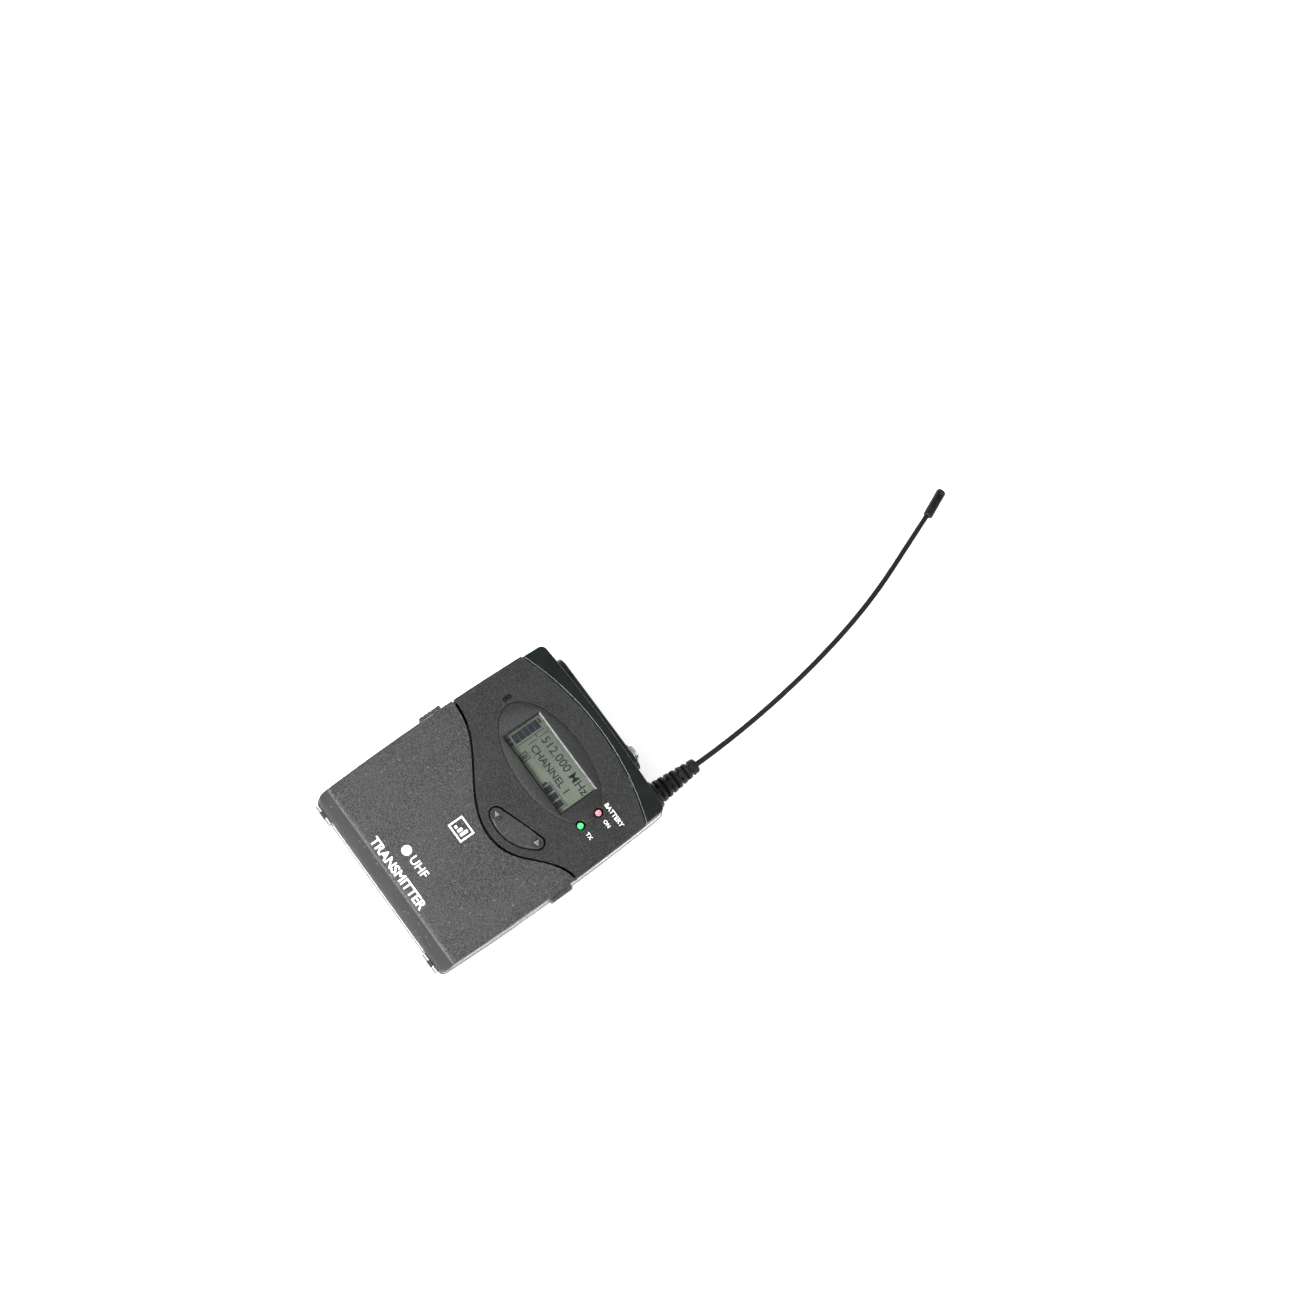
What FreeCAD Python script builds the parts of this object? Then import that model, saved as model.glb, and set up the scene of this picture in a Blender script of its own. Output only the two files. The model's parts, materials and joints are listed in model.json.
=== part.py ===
import FreeCAD, Part
import math
import os

# Wireless bodypack transmitter, lying on its belt clip with the display facing up.
# X is the device's right, Y points to the antenna end, Z is up and Z = 0 is the clip's underside.

os.makedirs("parts", exist_ok=True)
V = FreeCAD.Vector
X_AXIS = V(1, 0, 0)
Y_AXIS = V(0, 1, 0)
Z_AXIS = V(0, 0, 1)

# ---------------------------------------------------------------- driving dimensions (mm)
HALF_WIDTH = 32.0        # rear housing at its widest, halfway along
SIDE_BOW = 1.0           # how far each long side has curved in, 40 mm from the middle
END_BOTTOM = -40.2       # straight bottom end
END_TOP = 40.9           # corners of the antenna end
END_BOW = 0.9            # the antenna end bulges this much in its middle

Z_BACK = 6.6             # back face of the rear housing
Z_RIM = 17.4             # rim of the rear housing
Z_SKIRT = 17.6           # lower edge of the front shells
Z_FRONT = 24.4           # front face
METAL_WALL = 1.3
SHELL_WALL = 1.4
PLATE = 1.5              # thickness of the front plates
FRONT_INSET = 0.5        # front shells stand this far inside the rear housing
CAP_INSET = 0.8
CAP_DROP = 0.4           # the cap's face is this much lower than the panel's
BOTTOM_CURVE = 5.0       # radius of the cover's curve down to the bottom end

SEAM_GAP = 0.85         # between the panel and the battery cover
ARC_GAP = 0.5            # between the panel and the cap
SEAM_POINTS = [(-34, 8.3), (-18, 5.6), (-6.0, -1.9), (0.4, -5.0), (7.5, -6.1),
               (14.6, -4.1), (20.5, 0.7), (26.9, 5.6), (34, 6.9)]
ARC_SIDE_Y = 32.4        # the cap's seam at the two sides
ARC_RISE = 5.6           # and how much further up it is in the middle

HINGE_Y = -39.9
HINGE_Z = 17.6
KNUCKLE_R = 1.0
HINGE_PIN_R = 0.5
HINGE_X = 26.1           # middle of each pair of knuckles
HINGE_LENGTH = 6.6

CELL_R = 7.0             # AA cell
CELL_LENGTH = 50.0
CELL_Z = 15.2
CELL_ROWS = (-14.3, -29.1)

CONNECTOR_Z = 12.4       # jack, mute switch and antenna share this height
JACK_X = 10.2
JACK_BORE_R = 1.8
COLLAR_R = 3.2
COLLAR_TIP_Y = 45.5
NECK_R = 2.95            # threaded neck of the jack and of the antenna base
ANTENNA_X = 24.3
WHIP_R = 0.85
BOOT_START = 41.6
WHIP_START = 46.9
BEZEL_Y = 42.6           # outer face of the end bezel

LENS_CENTRE = (-0.2, 20.4)
LENS_A = 21.0
LENS_B = 10.8
WINDOW = (28.4, 13.4)
LED_X = 19.8
LED_YS = {"led_red": 23.2, "led_green": 16.7}
LED_R = 0.95
LED_HOLE_R = 1.45
IR_PLACE = (-22.9, 21.7)

ROCKER_CENTRE = (9.8, 1.1)
ROCKER_TOP = 2.1         # straight upper side, measured across from the centre
ROCKER_BOTTOM = -4.1     # lowest point of its round lower side
ROCKER_ARC_R = 13.95
ROCKER_END_R = 1.9
ROCKER_ANGLE = 18.9      # degrees from X
ROCKER_PIVOT_Z = 21.7
ROCKER_GAP = 0.45        # all round between the rocker and the panel
KEY_PLACES = {"power_button": (-20.5, 0.0), "set_button": (21.2, -3.2)}
KEY_R = {"power_button": 2.2, "set_button": 1.9}

CATCH_Y = 1.0
CATCH_LENGTH = 7.2
CATCH_Z = (18.5, 22.1)
CATCH_TIP_X = 33.0

BOARD_HALF = 24.4
CONTROL_Z = 16.2
MAIN_Z = 9.4
BOARD_T = 1.0

CLIP_WIRE_R = 1.0
CLIP_PIVOT = (17.0, 4.3)  # y, z
CLIP_LEG_X = 19.5
LUG_X = (14.4, 18.0)

SCREW_R = 1.0
PANEL_POSTS = [(-27.3, 11.6), (27.3, 11.6)]
CAP_POSTS = [(-26.6, 34.9), (18.0, 36.2)]


# ---------------------------------------------------------------- helpers
def box(x0, x1, y0, y1, z0, z1):
    return Part.makeBox(x1 - x0, y1 - y0, z1 - z0, V(x0, y0, z0))


def cylinder(r, height, place, axis=Z_AXIS):
    return Part.makeCylinder(r, height, V(*place), axis)


def fuse(shapes):
    return shapes[0].fuse(shapes[1:]).removeSplitter()


def mirrored(shape):
    return shape.mirror(V(0, 0, 0), X_AXIS)


def side_x(y, inset):
    return HALF_WIDTH - SIDE_BOW * (y / 40.0) ** 2 - inset


def is_upright(edge):
    a, b = edge.Vertexes[0].Point, edge.Vertexes[-1].Point
    return abs(a.x - b.x) + abs(a.y - b.y) < 1e-6 and abs(a.z - b.z) > 1e-3


def plan_prism(inset, z0, z1, corner):
    """The body's outline in plan, inset from the rear housing's, between two heights."""
    top = END_TOP - inset
    bottom = END_BOTTOM + inset
    right_low = V(side_x(bottom, inset), bottom, z0)
    right_high = V(side_x(top, inset), top, z0)
    left_low = V(-right_low.x, bottom, z0)
    left_high = V(-right_high.x, top, z0)
    edges = [
        Part.makeLine(left_low, right_low),
        Part.Arc(right_low, V(side_x(0, inset), 0, z0), right_high).toShape(),
        Part.Arc(right_high, V(0, top + END_BOW, z0), left_high).toShape(),
        Part.Arc(left_high, V(-side_x(0, inset), 0, z0), left_low).toShape(),
    ]
    solid = Part.Face(Part.Wire(edges)).extrude(V(0, 0, z1 - z0))
    return solid.makeFillet(corner, [e for e in solid.Edges if is_upright(e)])


def lowered_bottom(solid, inset, z_top, radius):
    """Round the bottom end of a front shell down towards its skirt."""
    end = END_BOTTOM + inset
    corner = box(-40, 40, end - 1, end + radius, z_top - radius, z_top + 1)
    keep = cylinder(radius, 80, (-40, end + radius, z_top - radius), X_AXIS)
    return solid.cut(corner.cut(keep))


def rounded_path(points, radii):
    """Straight runs joined by tangent arcs; one radius for each inner point."""
    edges = []
    start = V(*points[0])
    for before, here, after, radius in zip(points, points[1:], points[2:], radii):
        into = (V(*here) - V(*before)).normalize()
        out = (V(*after) - V(*here)).normalize()
        turn = into.getAngle(out)
        back = radius * math.tan(turn / 2)
        arc_start = V(*here) - into * back
        arc_end = V(*here) + out * back
        bisector = (out - into).normalize()
        centre = V(*here) + bisector * (radius / math.cos(turn / 2))
        middle = centre - bisector * radius
        edges.append(Part.makeLine(start, arc_start))
        edges.append(Part.Arc(arc_start, middle, arc_end).toShape())
        start = arc_end
    edges.append(Part.makeLine(start, V(*points[-1])))
    return Part.Wire(edges)


def round_sweep(wire, radius):
    start = wire.Edges[0].Vertexes[0].Point
    direction = wire.Edges[0].tangentAt(wire.Edges[0].FirstParameter)
    profile = Part.Wire(Part.makeCircle(radius, start, direction))
    return wire.makePipeShell([profile], True, False)


def ellipse_prism(centre, a, b, angle, z0, z1):
    ellipse = Part.Ellipse(V(0, 0, 0), a, b)
    face = Part.Face(Part.Wire(ellipse.toShape()))
    face.rotate(V(0, 0, 0), Z_AXIS, angle)
    face.translate(V(centre[0], centre[1], z0))
    return face.extrude(V(0, 0, z1 - z0))


def slot_prism(x0, x1, y0, y1, z0, z1, radius):
    solid = box(x0, x1, y0, y1, z0, z1)
    return solid.makeFillet(radius, [e for e in solid.Edges if is_upright(e)])


STEPS_PER_TURN = 10


def coil(place, side, radius, wire_r, length, turns):
    """A round-wire compression spring that starts at place and runs along X towards side."""
    x0, y0, z0 = place
    points = []
    for k in range(int(turns * STEPS_PER_TURN) + 1):
        angle = 2 * math.pi * k / STEPS_PER_TURN
        x = x0 + side * length * k / (turns * STEPS_PER_TURN)
        points.append((x, y0 + radius * math.cos(angle), z0 + radius * math.sin(angle)))
    bend = 0.92 * radius
    return round_sweep(rounded_path(points, [bend] * (len(points) - 2)), wire_r)


# ---------------------------------------------------------------- regions of the front
def below_seam(shift):
    """Everything on the cover's side of the S-shaped seam."""
    curve = Part.BSplineCurve()
    curve.interpolate([V(x, y - shift, 0) for x, y in SEAM_POINTS])
    (x_left, y_left), (x_right, y_right) = SEAM_POINTS[0], SEAM_POINTS[-1]
    left = V(x_left, y_left - shift, 0)
    right = V(x_right, y_right - shift, 0)
    corner_right = V(x_right, -50, 0)
    corner_left = V(x_left, -50, 0)
    wire = Part.Wire([
        curve.toShape(),
        Part.makeLine(right, corner_right),
        Part.makeLine(corner_right, corner_left),
        Part.makeLine(corner_left, left),
    ])
    return Part.Face(wire).extrude(V(0, 0, 40))


def above_arc(shift):
    """Everything on the cap's side of the arc-shaped seam."""
    reach = 34
    drop = ARC_RISE * (reach / 30.3) ** 2
    left = V(-reach, ARC_SIDE_Y + ARC_RISE - drop + shift, 0)
    right = V(reach, ARC_SIDE_Y + ARC_RISE - drop + shift, 0)
    apex = V(0, ARC_SIDE_Y + ARC_RISE + shift, 0)
    wire = Part.Wire([
        Part.Arc(left, apex, right).toShape(),
        Part.makeLine(right, V(reach, 60, 0)),
        Part.makeLine(V(reach, 60, 0), V(-reach, 60, 0)),
        Part.makeLine(V(-reach, 60, 0), left),
    ])
    return Part.Face(wire).extrude(V(0, 0, 40))


def front_edges(solid, z_top):
    """Edges that lie wholly in the face at z_top."""
    return [e for e in solid.Edges if all(abs(v.Z - z_top) < 1e-4 for v in e.Vertexes)]


def front_block(inset, z_low, z_top, corner, curve, edge_round):
    block = plan_prism(inset, z_low, z_top, corner)
    if edge_round > 0:
        block = block.makeFillet(edge_round, front_edges(block, z_top))
    return lowered_bottom(block, inset, z_top, curve)


def front_shell():
    outer = front_block(FRONT_INSET, Z_SKIRT, Z_FRONT, 2.0, BOTTOM_CURVE, 0.5)
    inner = front_block(FRONT_INSET + SHELL_WALL, Z_SKIRT - 1, Z_FRONT - PLATE, 0.8,
                        BOTTOM_CURVE - SHELL_WALL, 0)
    return outer.cut(inner)


# ---------------------------------------------------------------- hinge
def hinge_cylinder(x0, x1, radius):
    return cylinder(radius, x1 - x0, (x0, HINGE_Y, HINGE_Z), X_AXIS)


HINGE_START = HINGE_X - HINGE_LENGTH / 2
TUB_KNUCKLES = [(HINGE_START, HINGE_START + 2.0), (HINGE_START + 4.6, HINGE_START + 6.6)]
COVER_KNUCKLE = (HINGE_START + 2.15, HINGE_START + 4.45)
CLEAR_R = KNUCKLE_R + 0.2


# ---------------------------------------------------------------- rear housing
def rear_housing():
    outer = plan_prism(0, Z_BACK, Z_RIM, 2.6)
    back = [e for e in outer.Edges if all(abs(v.Z - Z_BACK) < 1e-4 for v in e.Vertexes)]
    outer = outer.makeFillet(2.2, back)
    rim = front_edges(outer, Z_RIM)
    outer = outer.makeFillet(0.7, rim)
    cavity = plan_prism(METAL_WALL, Z_BACK + METAL_WALL, Z_RIM + 1, 1.3)
    tub = outer.cut(cavity)

    # flat boss under the antenna, and the two lugs that hold the belt clip
    boss = cylinder(4.9, 2.0, (ANTENNA_X, BOOT_START - 2.0, CONNECTOR_Z), Y_AXIS)
    boss = boss.cut(cavity)
    lug_y, lug_z = CLIP_PIVOT
    lug = box(LUG_X[0], LUG_X[1], lug_y - 2.6, lug_y + 2.6, lug_z, Z_BACK + 0.5)
    lug = lug.fuse(cylinder(2.0, LUG_X[1] - LUG_X[0], (LUG_X[0], lug_y, lug_z), X_AXIS))
    extras = [boss, lug, mirrored(lug)]

    # hinge knuckles, each on a short foot below the axis
    for x0, x1 in TUB_KNUCKLES:
        foot = box(x0, x1, HINGE_Y - KNUCKLE_R, END_BOTTOM + 0.6, HINGE_Z - 2.4, HINGE_Z)
        knuckle = foot.fuse(hinge_cylinder(x0, x1, KNUCKLE_R))
        extras += [knuckle, mirrored(knuckle)]
    # ledges that the catches stand under
    ledge = box(30.4, 31.2, CATCH_Y - 2.4, CATCH_Y + 2.4, 15.9, 16.8)
    extras += [ledge, mirrored(ledge)]
    # short posts under the main board
    for x, y in BOARD_POSTS:
        extras.append(cylinder(1.7, MAIN_Z - Z_BACK - 1.0, (x, y, Z_BACK + 1.0)))
    tub = fuse([tub] + extras)

    cuts = []
    room = hinge_cylinder(COVER_KNUCKLE[0] - 0.15, COVER_KNUCKLE[1] + 0.15, CLEAR_R)
    cuts += [room, mirrored(room)]
    pin_bore = hinge_cylinder(HINGE_START - 1, HINGE_START + HINGE_LENGTH + 1, HINGE_PIN_R)
    cuts += [pin_bore, mirrored(pin_bore)]
    clip_bore = cylinder(CLIP_WIRE_R + 0.05, 6, (LUG_X[0] - 1, lug_y, lug_z), X_AXIS)
    cuts += [clip_bore, mirrored(clip_bore)]
    for x in (JACK_X, ANTENNA_X):
        cuts.append(cylinder(NECK_R + 0.05, 12, (x, 36, CONNECTOR_Z), Y_AXIS))
    cuts.append(box(-13.6, -5.4, 38, 43, CONNECTOR_Z - 0.9, CONNECTOR_Z + 0.9))
    for x, y in PANEL_POSTS + CAP_POSTS:
        cuts.append(cylinder(SCREW_R + 0.1, 4, (x, y, Z_BACK - 1)))
        cuts.append(Part.makeCone(2.1, SCREW_R + 0.1, 1.1, V(x, y, Z_BACK - 0.001)))
    for x, y in BOARD_POSTS:
        cuts.append(cylinder(0.6, 3, (x, y, Z_BACK + 1.3)))
    cuts.append(slot_prism(-13, 13, -36.5, -27.5, Z_BACK - 1, Z_BACK + 0.25, 1.0))
    for cut in cuts:
        tub = tub.cut(cut)
    return tub


BOARD_POSTS = [(-21.5, 10.5), (21.5, 10.5), (-21.5, 33.5)]


# ---------------------------------------------------------------- front shells
def rocker_hole(grow, z0, z1):
    """The rocker's outline, straight above and round below, grown all round."""
    top = ROCKER_TOP + grow
    bottom = ROCKER_BOTTOM - grow
    arc_r = ROCKER_ARC_R + grow
    half = math.sqrt(arc_r ** 2 - (bottom + arc_r - top) ** 2)
    left, right = V(-half, top, 0), V(half, top, 0)
    wire = Part.Wire([Part.makeLine(left, right), Part.Arc(right, V(0, bottom, 0), left).toShape()])
    solid = Part.Face(wire).extrude(V(0, 0, z1 - z0))
    solid = solid.makeFillet(ROCKER_END_R + grow, [e for e in solid.Edges if is_upright(e)])
    solid.rotate(V(0, 0, 0), Z_AXIS, ROCKER_ANGLE)
    solid.translate(V(ROCKER_CENTRE[0], ROCKER_CENTRE[1], z0))
    return solid


def rocker_point(along, across, z):
    angle = math.radians(ROCKER_ANGLE)
    x = ROCKER_CENTRE[0] + along * math.cos(angle) - across * math.sin(angle)
    y = ROCKER_CENTRE[1] + along * math.sin(angle) + across * math.cos(angle)
    return V(x, y, z)


def battery_cover(shell):
    cover = shell.common(below_seam(SEAM_GAP))
    knuckle = hinge_cylinder(COVER_KNUCKLE[0], COVER_KNUCKLE[1], KNUCKLE_R)
    for x0, x1 in TUB_KNUCKLES:
        room = hinge_cylinder(x0 - 0.15, x1 + 0.15, CLEAR_R)
        cover = cover.cut(room).cut(mirrored(room))
    # spring walls behind the catches and the guides beside them
    wall = box(24.3, 25.1, CATCH_Y - 3.6, CATCH_Y + 3.6, 18.6, Z_FRONT - 1)
    guide = box(27.2, 30.6, CATCH_Y + 4.9, CATCH_Y + 5.7, 18.2, Z_FRONT - 1)
    guide_low = box(27.2, 30.6, CATCH_Y - 5.7, CATCH_Y - 4.9, 18.2, Z_FRONT - 1)
    inside = below_seam(SEAM_GAP + 0.2)
    extras = []
    for piece in (wall, guide, guide_low):
        piece = piece.common(inside)
        extras += [piece, mirrored(piece)]
    rib = box(-24, 24, -36.4, -35.6, 19.5, Z_FRONT - 1)
    cover = fuse([cover, knuckle, mirrored(knuckle), rib] + extras)
    bore = hinge_cylinder(HINGE_START, HINGE_START + HINGE_LENGTH, HINGE_PIN_R + 0.05)
    window = box(28.8, 34, CATCH_Y - CATCH_LENGTH / 2 - 0.15, CATCH_Y + CATCH_LENGTH / 2 + 0.15,
                 CATCH_Z[0] - 0.15, CATCH_Z[1] + 0.15)
    for cut in (bore, window):
        cover = cover.cut(cut).cut(mirrored(cut))
    return cover


def front_panel(shell):
    panel = shell.cut(below_seam(0)).cut(above_arc(0))
    recess = ellipse_prism(LENS_CENTRE, LENS_A, LENS_B, 0, Z_FRONT - 0.9, Z_FRONT + 1)
    half_w, half_h = WINDOW[0] / 2, WINDOW[1] / 2
    window = box(LENS_CENTRE[0] - half_w, LENS_CENTRE[0] + half_w,
                 LENS_CENTRE[1] - half_h, LENS_CENTRE[1] + half_h, 15, 30)
    ir = slot_prism(IR_PLACE[0] - 0.75, IR_PLACE[0] + 0.75,
                    IR_PLACE[1] - 1.5, IR_PLACE[1] + 1.5, 15, 30, 0.6)
    cuts = [recess, window, ir, rocker_hole(ROCKER_GAP, 15, 30)]
    for y in LED_YS.values():
        cuts.append(cylinder(LED_HOLE_R, 15, (LED_X, y, 15)))
    posts = [cylinder(2.0, Z_FRONT - 1 - 8.1, (x, y, 8.1)) for x, y in PANEL_POSTS]
    # saddles that hold the rocker's two trunnions
    saddles = []
    for side in (-1, 1):
        saddle = cylinder(1.5, 1.2, tuple(rocker_point(0, side * 6.6, ROCKER_PIVOT_Z)),
                          rocker_point(0, side, 0) - rocker_point(0, 0, 0))
        lid = box(-1.5, 1.5, -0.6, 0.6, 0, 1.6)
        lid.rotate(V(0, 0, 0), Z_AXIS, ROCKER_ANGLE)
        lid.translate(rocker_point(0, side * 7.2, ROCKER_PIVOT_Z))
        saddles.append(saddle.fuse(lid))
    panel = fuse([panel] + posts + saddles)
    for side in (-1, 1):
        axis = rocker_point(0, side, 0) - rocker_point(0, 0, 0)
        cuts.append(cylinder(0.75, 4.5, tuple(rocker_point(0, side * 4.0, ROCKER_PIVOT_Z)), axis))
    for x, y in PANEL_POSTS:
        cuts.append(cylinder(0.8, 6, (x, y, 7)))
    for cut in cuts:
        panel = panel.cut(cut)
    return panel.cut(below_seam(0))


def top_cap():
    z_top = Z_FRONT - CAP_DROP
    outer = front_block(CAP_INSET, Z_SKIRT, z_top, 2.0, BOTTOM_CURVE, 0.7)
    inner = plan_prism(CAP_INSET + METAL_WALL, Z_SKIRT - 1, z_top - PLATE, 0.8)
    cap = outer.cut(inner).common(above_arc(ARC_GAP))
    posts = [cylinder(1.7, z_top - PLATE + 0.3 - 8.1, (x, y, 8.1)) for x, y in CAP_POSTS]
    cap = fuse([cap] + posts)
    for x, y in CAP_POSTS:
        cap = cap.cut(cylinder(0.8, 6, (x, y, 7)))
    return cap


def end_bezel():
    plate = box(-24.4, 16.0, 36, BEZEL_Y, 8.4, 21.8)
    corners = [e for e in plate.Edges if abs(e.Vertexes[0].Y - e.Vertexes[-1].Y) > 1]
    plate = plate.makeFillet(3.0, corners)
    face = [e for e in plate.Edges if all(abs(v.Y - BEZEL_Y) < 1e-4 for v in e.Vertexes)]
    plate = plate.makeFillet(0.45, face)
    plate = plate.cut(plan_prism(-0.02, 0, Z_RIM + 0.1, 2.6))
    plate = plate.cut(plan_prism(CAP_INSET - 0.02, Z_RIM, 40, 2.0))
    plate = plate.cut(cylinder(NECK_R + 0.1, 12, (JACK_X, 36, CONNECTOR_Z), Y_AXIS))
    plate = plate.cut(box(-14.4, -4.6, 36, 45, CONNECTOR_Z - 1.9, CONNECTOR_Z + 1.9))
    return plate


# ---------------------------------------------------------------- display, lights and keys
def display_lens():
    lens = ellipse_prism(LENS_CENTRE, LENS_A - 0.1, LENS_B - 0.1, 0, Z_FRONT - 0.85, Z_FRONT - 0.02)
    for y in LED_YS.values():
        lens = lens.cut(cylinder(LED_HOLE_R + 0.1, 15, (LED_X, y, 15)))
    return lens.cut(box(IR_PLACE[0] - 5, IR_PLACE[0] + 1.9, 17, 26, 15, 30))


def framed(x_half, y_half, z0, z1):
    cx, cy = LENS_CENTRE
    return box(cx - x_half, cx + x_half, cy - y_half, cy + y_half, z0, z1)


LCD_X = 16.6
LCD_Y = 8.6
GLASS_Z = (20.9, 22.4)


def lcd_frame():
    outer = framed(LCD_X + 0.6, LCD_Y + 0.6, CONTROL_Z + BOARD_T, 22.8)
    hollow = framed(LCD_X + 0.05, LCD_Y + 0.05, 15, GLASS_Z[1] + 0.05)
    opening = framed(WINDOW[0] / 2 + 0.3, WINDOW[1] / 2 + 0.3, 15, 30)
    return outer.cut(hollow).cut(opening)


def contact_strips():
    cx, cy = LENS_CENTRE
    low = box(cx - 14, cx + 14, cy - LCD_Y + 0.2, cy - LCD_Y + 1.4, CONTROL_Z + BOARD_T, GLASS_Z[0])
    high = box(cx - 14, cx + 14, cy + LCD_Y - 1.4, cy + LCD_Y - 0.2, CONTROL_Z + BOARD_T, GLASS_Z[0])
    return Part.Compound([low, high])


def led(y):
    body = cylinder(1.6, 1.2, (LED_X, y, CONTROL_Z + BOARD_T))
    pipe = cylinder(LED_R, Z_FRONT - 0.5 - CONTROL_Z - BOARD_T, (LED_X, y, CONTROL_Z + BOARD_T))
    dome = Part.makeSphere(LED_R, V(LED_X, y, Z_FRONT - 0.5))
    dome = dome.common(box(0, 40, 0, 40, Z_FRONT - 0.5, Z_FRONT + 0.1))
    return fuse([body, pipe, dome])


def ir_window():
    x, y = IR_PLACE
    head = slot_prism(x - 0.7, x + 0.7, y - 1.45, y + 1.45, Z_FRONT - PLATE - 0.5, Z_FRONT - 0.5, 0.55)
    foot = box(x - 1.4, x + 1.4, y - 2.2, y + 2.2, CONTROL_Z + BOARD_T, Z_FRONT - PLATE - 0.5)
    return head.fuse(foot)


def rocker_button():
    top = rocker_hole(0, ROCKER_PIVOT_Z - 0.8, Z_FRONT + 0.5)
    rim = [e for e in top.Edges if e.BoundBox.ZMin > Z_FRONT + 0.4]
    top = top.makeFillet(0.5, rim)
    # a shallow dish lets the thumb feel both ends
    dish = Part.makeCylinder(60, 30, V(0, -15, 0), Y_AXIS)
    dish.rotate(V(0, 0, 0), Z_AXIS, ROCKER_ANGLE)
    dish.translate(V(ROCKER_CENTRE[0], ROCKER_CENTRE[1], Z_FRONT + 0.22 + 60))
    top = top.cut(dish)
    trunnions = []
    for side, across in ((-1, -3.5), (1, 1.5)):
        axis = rocker_point(0, side, 0) - rocker_point(0, 0, 0)
        start = rocker_point(0, across, ROCKER_PIVOT_Z)
        trunnions.append(cylinder(0.7, 7.6 - abs(across), tuple(start), axis))
    return fuse([top] + trunnions)


def key_cap(name):
    x, y = KEY_PLACES[name]
    r = KEY_R[name]
    cap = cylinder(r, 1.6, (x, y, 20.8))
    cap = cap.makeFillet(0.35, [e for e in cap.Edges if e.BoundBox.ZMin > 22.3])
    flange = cylinder(r + 0.5, 0.4, (x, y, 20.4))
    return fuse([cap, flange])


def key_switches():
    places = [KEY_PLACES["power_button"], KEY_PLACES["set_button"]]
    for along in (-5.6, 5.6):
        point = rocker_point(along, 0, 0)
        places.append((point.x, point.y))
    switches = []
    for x, y in places:
        body = box(x - 1.6, x + 1.6, y - 1.6, y + 1.6, CONTROL_Z + BOARD_T, 19.2)
        switches.append(body.fuse(cylinder(0.8, 0.5, (x, y, 19.2))))
    return Part.Compound(switches)


# ---------------------------------------------------------------- battery bay
def inner_frame():
    """Battery tray, bulkhead and key deck in one moulding."""
    tray = box(-28.6, 28.6, -37.0, -6.8, Z_BACK + METAL_WALL + 0.05, 14.6)
    tray = tray.common(plan_prism(METAL_WALL + 0.3, 0, 40, 1.0))
    # side blocks carry the contacts; the cells lie between them
    for y in CELL_ROWS:
        tray = tray.cut(cylinder(CELL_R + 0.2, 52.0, (-26.0, y, CELL_Z), X_AXIS))
        tray = tray.cut(box(-26, 26, y - 4, y + 4, 0, CELL_Z))
    for x in (-1, 1):
        pocket = box(min(x * 25.6, x * 29.5), max(x * 25.6, x * 29.5), -36.2, -7.6, 9.2, 20)
        tray = tray.cut(pocket)
    bulkhead = box(-28.4, 28.4, -6.7, -5.7, Z_BACK + METAL_WALL + 0.05, 21.6)
    joint = box(-28.4, 28.4, -7.2, -5.7, Z_BACK + METAL_WALL + 0.05, 12.0)
    deck = box(-23.7, 23.7, -6.2, 9.0, 20.9, 21.6)
    frame = fuse([tray, bulkhead, joint, deck])
    frame = frame.cut(cylinder(CELL_R + 0.2, 52.0, (-26.0, CELL_ROWS[0], CELL_Z), X_AXIS))
    for name, (x, y) in KEY_PLACES.items():
        frame = frame.cut(cylinder(KEY_R[name] + 0.2, 3, (x, y, 20.6)))
    frame = frame.cut(rocker_hole(1.4, 20, 23))
    for across in (-7.0, 5.0, 7.0):
        frame = frame.cut(cylinder(2.2, 4, tuple(rocker_point(0, across, 19))))
    for side in (-1, 1):
        # the bulkhead's upper corners give way to the catches
        catch_room = box(23.7, 32, -7.5, -4, 12.5, 25)
        frame = frame.cut(catch_room if side > 0 else mirrored(catch_room))
    # open the bulkhead for the leads to the board
    return frame.cut(box(-27, -24, -8, -5, 8.5, 12.2))


def battery(y, positive_side):
    """AA cell: can with a shallow shoulder, positive nub and a recessed negative face."""
    s = positive_side
    half = CELL_LENGTH / 2
    profile = [V(-half, 0, 0), V(-half, 0, 5.6), V(-half + 0.5, 0, CELL_R), V(half - 1.6, 0, CELL_R),
               V(half - 1.1, 0, 6.4), V(half - 1.1, 0, 2.75), V(half, 0, 2.75), V(half, 0, 0)]
    edges = [Part.makeLine(a, b) for a, b in zip(profile, profile[1:] + profile[:1])]
    cell = Part.Face(Part.Wire(edges)).revolve(V(0, 0, 0), X_AXIS, 360)
    if s < 0:
        cell.rotate(V(0, 0, 0), Z_AXIS, 180)
    cell.translate(V(0, y, CELL_Z))
    return cell


CONTACT_X = 28.0
SPRING_WIRE_R = 0.3


def contact_plate(side, rows):
    """Thin spring-steel plate on one side of the bay, with a dimple or a spring seat per cell."""
    low, high = min(rows) - 4.6, max(rows) + 4.6
    x0, x1 = sorted((side * CONTACT_X, side * (CONTACT_X + 0.4)))
    return box(x0, x1, low, high, 9.4, 19.2)


def dimple(side, y):
    depth = CONTACT_X - CELL_LENGTH / 2
    start = side * (CELL_LENGTH / 2)
    return Part.makeCone(2.2, 3.4, depth, V(start, y, CELL_Z), X_AXIS * side)


def battery_spring(side, y):
    """A coil between the cell's flat end and its plate."""
    margin = SPRING_WIRE_R + 0.05
    start = side * (CONTACT_X - margin)
    length = CONTACT_X - CELL_LENGTH / 2 - 2 * margin
    return coil((start, y, CELL_Z), -side, 3.2, SPRING_WIRE_R, length, 2.5)


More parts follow.
